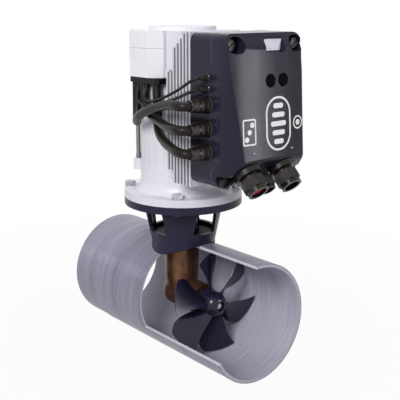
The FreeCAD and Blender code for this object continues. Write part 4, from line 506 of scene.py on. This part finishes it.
def surface(name, points, faces, material, sharp=None):
    """A new piece on the root body from points and quads; sharp is the angle in degrees past
    which an edge isn't smoothed, and 180 smooths them all."""
    mesh = bpy.data.meshes.new(name)
    mesh.from_pydata(np.asarray(points).tolist(), [], np.asarray(faces).tolist())
    if sharp:
        mesh.set_sharp_from_angle(angle=math.radians(sharp))
    piece = bpy.data.objects.new(name, mesh)
    bpy.context.collection.objects.link(piece)
    piece.data.materials.append(material)
    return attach(piece, "root")


shell = surface("case_cover", shell_points, shell_faces, case_plastic, 50)
wall = shell.modifiers.new("wall", "SOLIDIFY")
wall.thickness = 0.0012
wall.offset = -1
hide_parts("controller_cover")


# Cover screws: four barrel heads of black nylon, 19 mm across; each coin slot is a painted
# shadow.
def turned_piece(name, profile, spots, material, parts=48, lobes=0.0, lean=0.0):
    """Turned about an axis that leans down from X by this angle: each profile row is a distance
    ahead and a radius in millimetres; the grid goes once round the axis at every spot, and the
    first and last rows close on it. The radius is times 1 + lobes cos 8t at the angle t."""
    ahead, radii = (np.asarray(profile, float) / 1000).T
    turn = np.linspace(0, 2 * np.pi, parts, endpoint=False)
    wave = 1 + lobes * np.cos(8 * turn)
    grid = np.column_stack([np.repeat(ahead, parts), np.outer(radii, wave * np.cos(turn)).ravel(),
                            np.outer(radii, wave * np.sin(turn)).ravel()])
    frame_of = np.array([(math.cos(lean), 0, -math.sin(lean)), (0, 1, 0),
                         (math.sin(lean), 0, math.cos(lean))])
    row = np.arange(len(ahead) - 1)[:, None] * parts
    here, beside = row + np.arange(parts), row + (np.arange(parts) + 1) % parts
    quads = np.stack([here, beside, beside + parts, here + parts], -1).reshape(-1, 4)
    points = [grid @ frame_of + spot for spot in spots]
    faces = [quads + number * len(grid) for number in range(len(spots))]
    return surface(name, np.vstack(points), np.vstack(faces), material, 35)


barrel = [(0, 0), (0, 9.4), (11, 9.4), (12.2, 8.9), (12.6, 7.9), (12.6, 0)]
screw_spots = [(MOTOR + ahead, side * SCREW_Y / 1000, z / 1000) for side in (-1, 1)
               for z, ahead in ((SCREW_TOP_Z, 0.1785), (SCREW_LOW_Z, 0.1725))]
screws = turned_piece("barrel_screws", barrel, screw_spots, screw_plastic)
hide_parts("cover_screws")
# Each slot is a flat near-black sheet on the head: a painted shadow in place of a cut slot.
cut = np.array([(0.0128, -0.008, -0.001), (0.0128, 0.008, -0.001),
                (0.0128, 0.008, 0.001), (0.0128, -0.008, 0.001)])
tilt = np.array([[1, 0, 0], [0, 0.77, -0.64], [0, 0.64, 0.77]])
surface("screw_slot_shadows", np.vstack([cut @ tilt.T + spot for spot in screw_spots]),
        np.arange(16).reshape(4, 4), moulded("slot_shadow", "050505", 0.8, sheen=0.1))

# Lamps under the sockets' field: two small clear lenses in the lower part of the front.
turned_piece("lamp_lenses", [(-1, 0), (-1, 1.8), (0.5, 1.8), (1.1, 1.3), (1.4, 0)],
             [(MOTOR + 0.212, y, 0.284) for y in (-0.0365, 0.0435)], silver_plate, 20)


# Marks on the cover: white ink printed straight on the leaning front. They are plain shapes, a
# column of bars in a round-ended frame, a tile with a row of dots and a ring.
def printed(name, outlines):
    """Flat shapes 0.12 mm off the front: each outline is a closed path and, where it has one, an
    inner path; a strip of faces joins the two, or the path's points join its centre."""
    corners, faces = [], []
    for outer, inner in outlines:
        inner = np.broadcast_to(outer.mean(0), outer.shape) if inner is None else inner
        y, z = np.vstack([outer, inner]).T
        ahead = MOTOR + (front_height(z * 1000) - crown(y * 1000)) / 1000 + 0.00012
        step = np.arange(len(outer))
        after = (step + 1) % len(outer)
        faces.append(np.column_stack([step, after, after + len(outer), step + len(outer)])
                     + sum(map(len, corners)))
        corners.append(np.column_stack([ahead, y, z]))
    surface(name, np.vstack(corners), np.vstack(faces), ink)


def stadium(y, z, half_width, half_height, corner, line=None):
    """Closed path of a rectangle with round corners, counter-clockwise seen from the front, and
    the same path one line's width further in, or nothing for a filled shape."""
    turn = np.linspace(0, 2 * np.pi, 64, endpoint=False)
    push = np.sign(np.column_stack([np.cos(turn), np.sin(turn)]).round(6))
    arc = np.column_stack([np.cos(turn), np.sin(turn)])
    path = (y, z) + push * (half_width - corner, half_height - corner) + corner * arc
    if line is None:
        return path, None
    return path, stadium(y, z, half_width - line, half_height - line, corner - line)[0]


ink = moulded("white_ink", "ffffff", 0.5, dust="dcdce4", share=0.15)
# The ink also glows a little: painted light that makes the marks brighter than the lamps alone.
fill(ink, shader_of(ink), Emission_Color=(1, 1, 1, 1), Emission_Strength=0.18)
printed("printed_column", [stadium(0.016, 0.324, 0.027, 0.041, 0.026, 0.0032)] + [
    stadium(0.016, 0.324 + 0.0135 * step, 0.0165 - 0.003 * abs(step), 0.0038, 0.0037)
    for step in (-2, -1, 0, 1, 2)])
tile = (stadium(-0.044, 0.316, 0.0125, 0.0195, 0.003)[0],
        stadium(-0.044, 0.316, 0.0102, 0.0172, 0.0016)[0])
printed("printed_tile", [tile] + [
    stadium(-0.044 + 0.005225 * step, 0.316 + 0.0105 * step, 0.0039, 0.0039, 0.0038)
    for step in (-1, 0, 1)])
printed("printed_ring", [stadium(0.059, 0.322, 0.0105, 0.0105, 0.01049, 0.0023),
                         stadium(0.059, 0.322, 0.0045, 0.0045, 0.00449)])

# Data sockets: two round black sockets in the upper part of the cover, closed by lobed caps.
socket_plastic = moulded("socket_plastic", "060505", 0.7, sheen=0.03)
dress(socket_plastic, "data_sockets")
turned_piece("socket_caps", [(-6, 0), (-6, 9), (0.2, 9), (0.9, 8.5), (1.1, 7.4), (1.1, 0)],
             [(MOTOR + 0.2062, y / 1000, SOCKET_Z / 1000) for y in SOCKETS_Y], socket_plastic,
             96, 0.07)

# Cable glands: nylon bodies and nuts under the cover's sill, with one red seal and black ones in
# their mouths, for the battery cables. A thin red membrane closes the red one until it is used.
gland_nylon = moulded("gland_nylon", "1c1615", 0.28, 0.0009, 0.000012, sheen=0.3)
red_seal = moulded("red_seal", "c62f2c", 0.42, dust="8c2626")
black_seal = moulded("black_seal", "0e0d0e", 0.5)
dress(gland_nylon, "gland_bodies", "gland_nuts")
dress(red_seal, "gland_seal_red")
dress(black_seal, "gland_seals")
red_mouth = next(m["pos_m"] for m in frame["record"]["mounts"] if m["name"] == "gland_red")
turned_piece("red_membrane", [(8.8, 0), (8.8, 9.9), (9.6, 9.9), (10.1, 8.6), (9.7, 4), (9.5, 0)],
             [red_mouth], red_seal, 64, lean=math.pi / 4)


# Cable boots: soft black rubber sleeves pushed on the controller's left side, with a rim, bend
# ribs and a lip round each cable.
def boot(level_z, length, radius, hole):
    """Turned round the cable: the radius falls from the rim to the lip in soft waves, and the
    profile comes back down the hole, so the wall is closed."""
    base, ahead, parts = -0.0812, MOTOR + 0.156, 56
    along = np.linspace(0, 1, 72)
    body = hole + (radius * 1.16 - hole) * (1 - 0.78 * along ** 1.15) + 0.0004
    ribs = 0.0003 * np.clip(np.sin((along - 0.08) * 8 * np.pi), 0, 1) * (along < 0.8)
    rim = 0.0012 * np.exp(-(along / 0.06) ** 2)
    lip = (along > 0.985) * -0.0003
    outer = np.column_stack([body + ribs + rim + lip, base - length * along])
    inner = np.column_stack([np.full(8, hole), base - length * np.linspace(1, 0, 8)])
    line = np.vstack([outer, inner])
    turn = np.linspace(0, 2 * np.pi, parts, endpoint=False)
    points = np.stack([ahead + np.outer(line[:, 0], np.cos(turn)),
                       np.repeat(line[:, 1:], parts, 1),
                       level_z + np.outer(line[:, 0], np.sin(turn))], -1).reshape(-1, 3)
    row = np.arange(len(line))[:, None] * parts
    here, beside = row + np.arange(parts), row + (np.arange(parts) + 1) % parts
    return points, np.stack([here, beside, np.roll(beside, -1, 0), np.roll(here, -1, 0)],
                            -1).reshape(-1, 4)


boot_rubber = moulded("boot_rubber", "1d1410", 0.22, 0.0008, 0.000008, sheen=0.5)
PHASE_RADIUS, LEAD_RADIUS = 0.0073, 0.0022
phase_levels, lead_levels = (0.355, 0.3197, 0.2844), (0.395, 0.378)
sleeves = [boot(level_z, 0.034, 0.0108, PHASE_RADIUS + 0.0001) for level_z in phase_levels]
sleeves += [boot(level_z, 0.0135, 0.0042, LEAD_RADIUS) for level_z in lead_levels]
boots = surface("bend_boots", np.vstack([points for points, _ in sleeves]),
                np.vstack([faces + number * len(sleeves[0][0])
                           for number, (_, faces) in enumerate(sleeves)]),
                boot_rubber, 180)
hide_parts("cable_boots")


# Motor cables and sensor leads: three rubber-covered phase cables 14.6 mm thick and two thin
# leads, held in the plate under the terminal box and in the boots, and bowed between them.
def flexible(name, node, radius, points, material):
    """A round lead on one smooth curve through the air between its two clamps; the points are
    millimetres from the motor's axis."""
    curve = bpy.data.curves.new(name, "CURVE")
    curve.dimensions = "3D"
    curve.bevel_depth = radius
    curve.bevel_resolution = 8
    curve.resolution_u = 28
    curve.use_fill_caps = True
    line = curve.splines.new("NURBS")
    line.points.add(len(points) - 1)
    spots = np.array(points) / 1000 + (MOTOR, 0, 0)
    line.points.foreach_set("co", np.column_stack([spots, np.ones(len(spots))]).ravel())
    line.order_u = 3
    line.use_endpoint_u = True
    piece = bpy.data.objects.new(name, curve)
    bpy.context.collection.objects.link(piece)
    piece.data.materials.append(material)
    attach(piece, "root")
    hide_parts(node)


cable_rubber = moulded("cable_rubber", "1a1513", 0.36, 0.001, 0.000015)
lead_rubber = moulded("lead_rubber", "1d1a1c", 0.36, 0.0008, 0.00001)
phase_routes = [
    [(-25, -77, 398), (-25, -77, 304), (8, -103, 322), (50, -111, 339), (110, -119, 355),
     (156, -129, 355), (156, -109, 355)],
    [(-2, -79, 398), (-2, -79, 352), (22, -91.5, 331), (75, -102, 320), (112, -120, 319.7),
     (156, -129, 319.7), (156, -109, 319.7)],
    [(29, -77.5, 384), (29, -77.5, 374), (33, -79, 350), (34, -79.5, 313), (54, -92, 299),
     (88, -105, 289), (156, -129, 284.4), (156, -109, 284.4)]]
lead_routes = [
    [(10.5, -82, 392), (10.5, -82, 374), (13, -92, 348), (50, -95, 351), (110, -99, 373),
     (156, -106, 395), (156, -95, 395)],
    [(-11.5, -82, 392), (-11.5, -82, 374), (-5, -94, 344), (45, -95, 343), (110, -99, 362),
     (156, -106, 378), (156, -95, 378)]]
for number, route in enumerate(phase_routes, 1):
    flexible(f"phase_cable_{number}", f"motor_cable_{number}", PHASE_RADIUS, route, cable_rubber)
for number, route in enumerate(lead_routes, 1):
    flexible(f"sensor_wire_{number}", f"sensor_lead_{number}", LEAD_RADIUS, route, lead_rubber)

# Electronics in the controller: power modules bedded on the heat sink, a lacquered circuit board
# and six sleeved capacitors.
module_resin = moulded("module_resin", "121214", 0.44)
board = finish("circuit_lacquer")
tracks = add(board, "TexBrick", {"Vector": place(board, turn=(0, math.pi / 2, 0)), "Scale": 90.0,
                                 "Color1": pigment("1f5a35"), "Color2": pigment("256a3e"),
                                 "Mortar": pigment("4f8a4a")}).outputs["Color"]
fill(board, shader_of(board), Base_Color=tracks, Roughness=0.35, Coat_Weight=0.3)
sleeve = turned("capacitor_sleeve", "9a9ba3", 0.34, (1, 40, 1), metallic=0.7)
dress(module_resin, "power_modules")
dress(board, "circuit_board")
dress(sleeve, "capacitors")

# Fasteners: stainless hexagon bolts and washers through the motor flange, and four screws from
# the bracket's floor into the leg. Below the underside of the bracket's ring the bolts are dark
# navy and not metallic: painted shade under the ring.
bolt_steel = turned("bolt_steel", "b9b8bc", 0.3, (1, 1, 22))
RING_UNDERSIDE = 0.167
height = add(bolt_steel, "SeparateXYZ", {"Vector": place(bolt_steel)}).outputs["Z"]
# Below the ring's underside: painted shade.
painted_shade_below = sums(bolt_steel, "LESS_THAN", height, RING_UNDERSIDE)
fill(bolt_steel, shader_of(bolt_steel), Metallic=span(bolt_steel, painted_shade_below, 1.0, 0.0),
     Base_Color=blend(bolt_steel, painted_shade_below, tone_of(bolt_steel), pigment("17151f")))
dress(bolt_steel, "flange_bolts", "flange_washers", "leg_bolts")

# Stage: a pale floor under the tunnel, which looks white and is matt to the lamps, a white
# surround, a key lamp, a top lamp, an oblong one for the sheen on glossy pieces, and the camera.
FLOOR_HALF, FLOOR_GAP = 5, 0.0002
floor_z = first_box[0].z - FLOOR_GAP
floor_mesh = bpy.data.meshes.new("floor")
floor_mesh.from_pydata([(x * FLOOR_HALF, y * FLOOR_HALF, floor_z)
                        for x, y in ((-1, -1), (1, -1), (1, 1), (-1, 1))], [], [(0, 1, 2, 3)])
floor = bpy.data.objects.new("floor", floor_mesh)
bpy.context.collection.objects.link(floor)
pale = bpy.data.materials.new("pale_floor")
pale.use_nodes = True
pale.node_tree.nodes.clear()
matt = add(pale, "BsdfDiffuse", {"Color": (0.36, 0.36, 0.38, 1)})
bright = add(pale, "Emission", {"Color": (1, 1, 1, 1), "Strength": 1.0})
rays = add(pale, "LightPath", {}).outputs
far = add(pale, "VectorMath", {0: place(pale, centre=(0.2, 0, 0))}, operation="LENGTH")
fading = add(pale, "MapRange", {"Value": far.outputs["Value"], "From Min": 0.3,
                                "From Max": 1.0, "To Min": 0.96}).outputs[0]
looked = sums(pale, "MAXIMUM", rays["Is Camera Ray"], rays["Is Glossy Ray"])
mixed = add(pale, "MixShader", {0: sums(pale, "MULTIPLY", looked, fading), 1: matt.outputs[0],
                                2: bright.outputs[0]})
add(pale, "OutputMaterial", {"Surface": mixed.outputs[0]})
floor.data.materials.append(pale)

world = bpy.data.worlds.new("white_surround")
bpy.context.scene.world = world
world.use_nodes = True
rays = add(world, "LightPath", {}).outputs
looked = sums(world, "MAXIMUM", rays["Is Camera Ray"], rays["Is Glossy Ray"])
shown = sums(world, "MAXIMUM", looked, rays["Is Transmission Ray"])
fill(world, world.node_tree.nodes["Background"], Color=(1, 1, 1, 1),
     Strength=span(world, shown, 0.3, 1.0))


def lamp(name, spot, aim, power, width, height=None):
    """A soft lamp turned to a point on the object: a square one lights all surfaces, and an
    oblong one, which has a height too, shows only in the glossy ones."""
    light = bpy.data.lights.new(name, "AREA")
    light.energy = power
    light.size = width
    if height:
        light.shape = "RECTANGLE"
        light.size_y = height
        light.color = (1.0, 0.92, 1.0)
    holder = bpy.data.objects.new(name, light)
    bpy.context.collection.objects.link(holder)
    holder.location = spot
    holder.rotation_euler = (aim - holder.location).to_track_quat("-Z", "Y").to_euler()
    holder.visible_diffuse = not height


middle = (first_box[0] + first_box[1]) / 2
lamp("key_lamp", (1.1, -1.65, 1.25), middle, 31, 0.7)
lamp("top_lamp", (-0.2, 0.3, 2.2), middle, 16, 1.2)
lamp("sheen_lamp", (1.368, 0.702, 0.33), middle, 5.0, 0.34, 0.6)

camera_data = bpy.data.cameras.new("camera")
camera_data.lens = 69.5
camera_data.sensor_width = 36
camera_data.shift_y = -0.0865
camera = bpy.data.objects.new("camera", camera_data)
bpy.context.collection.objects.link(camera)
camera.location = (1.2161, -0.8197, 0.4991)
sight = type(middle)((-0.7474, 0.6324, -0.2036))
camera.rotation_euler = sight.to_track_quat("-Z", "Y").to_euler()
bpy.context.scene.camera = camera
bpy.context.scene.view_settings.view_transform = "Standard"
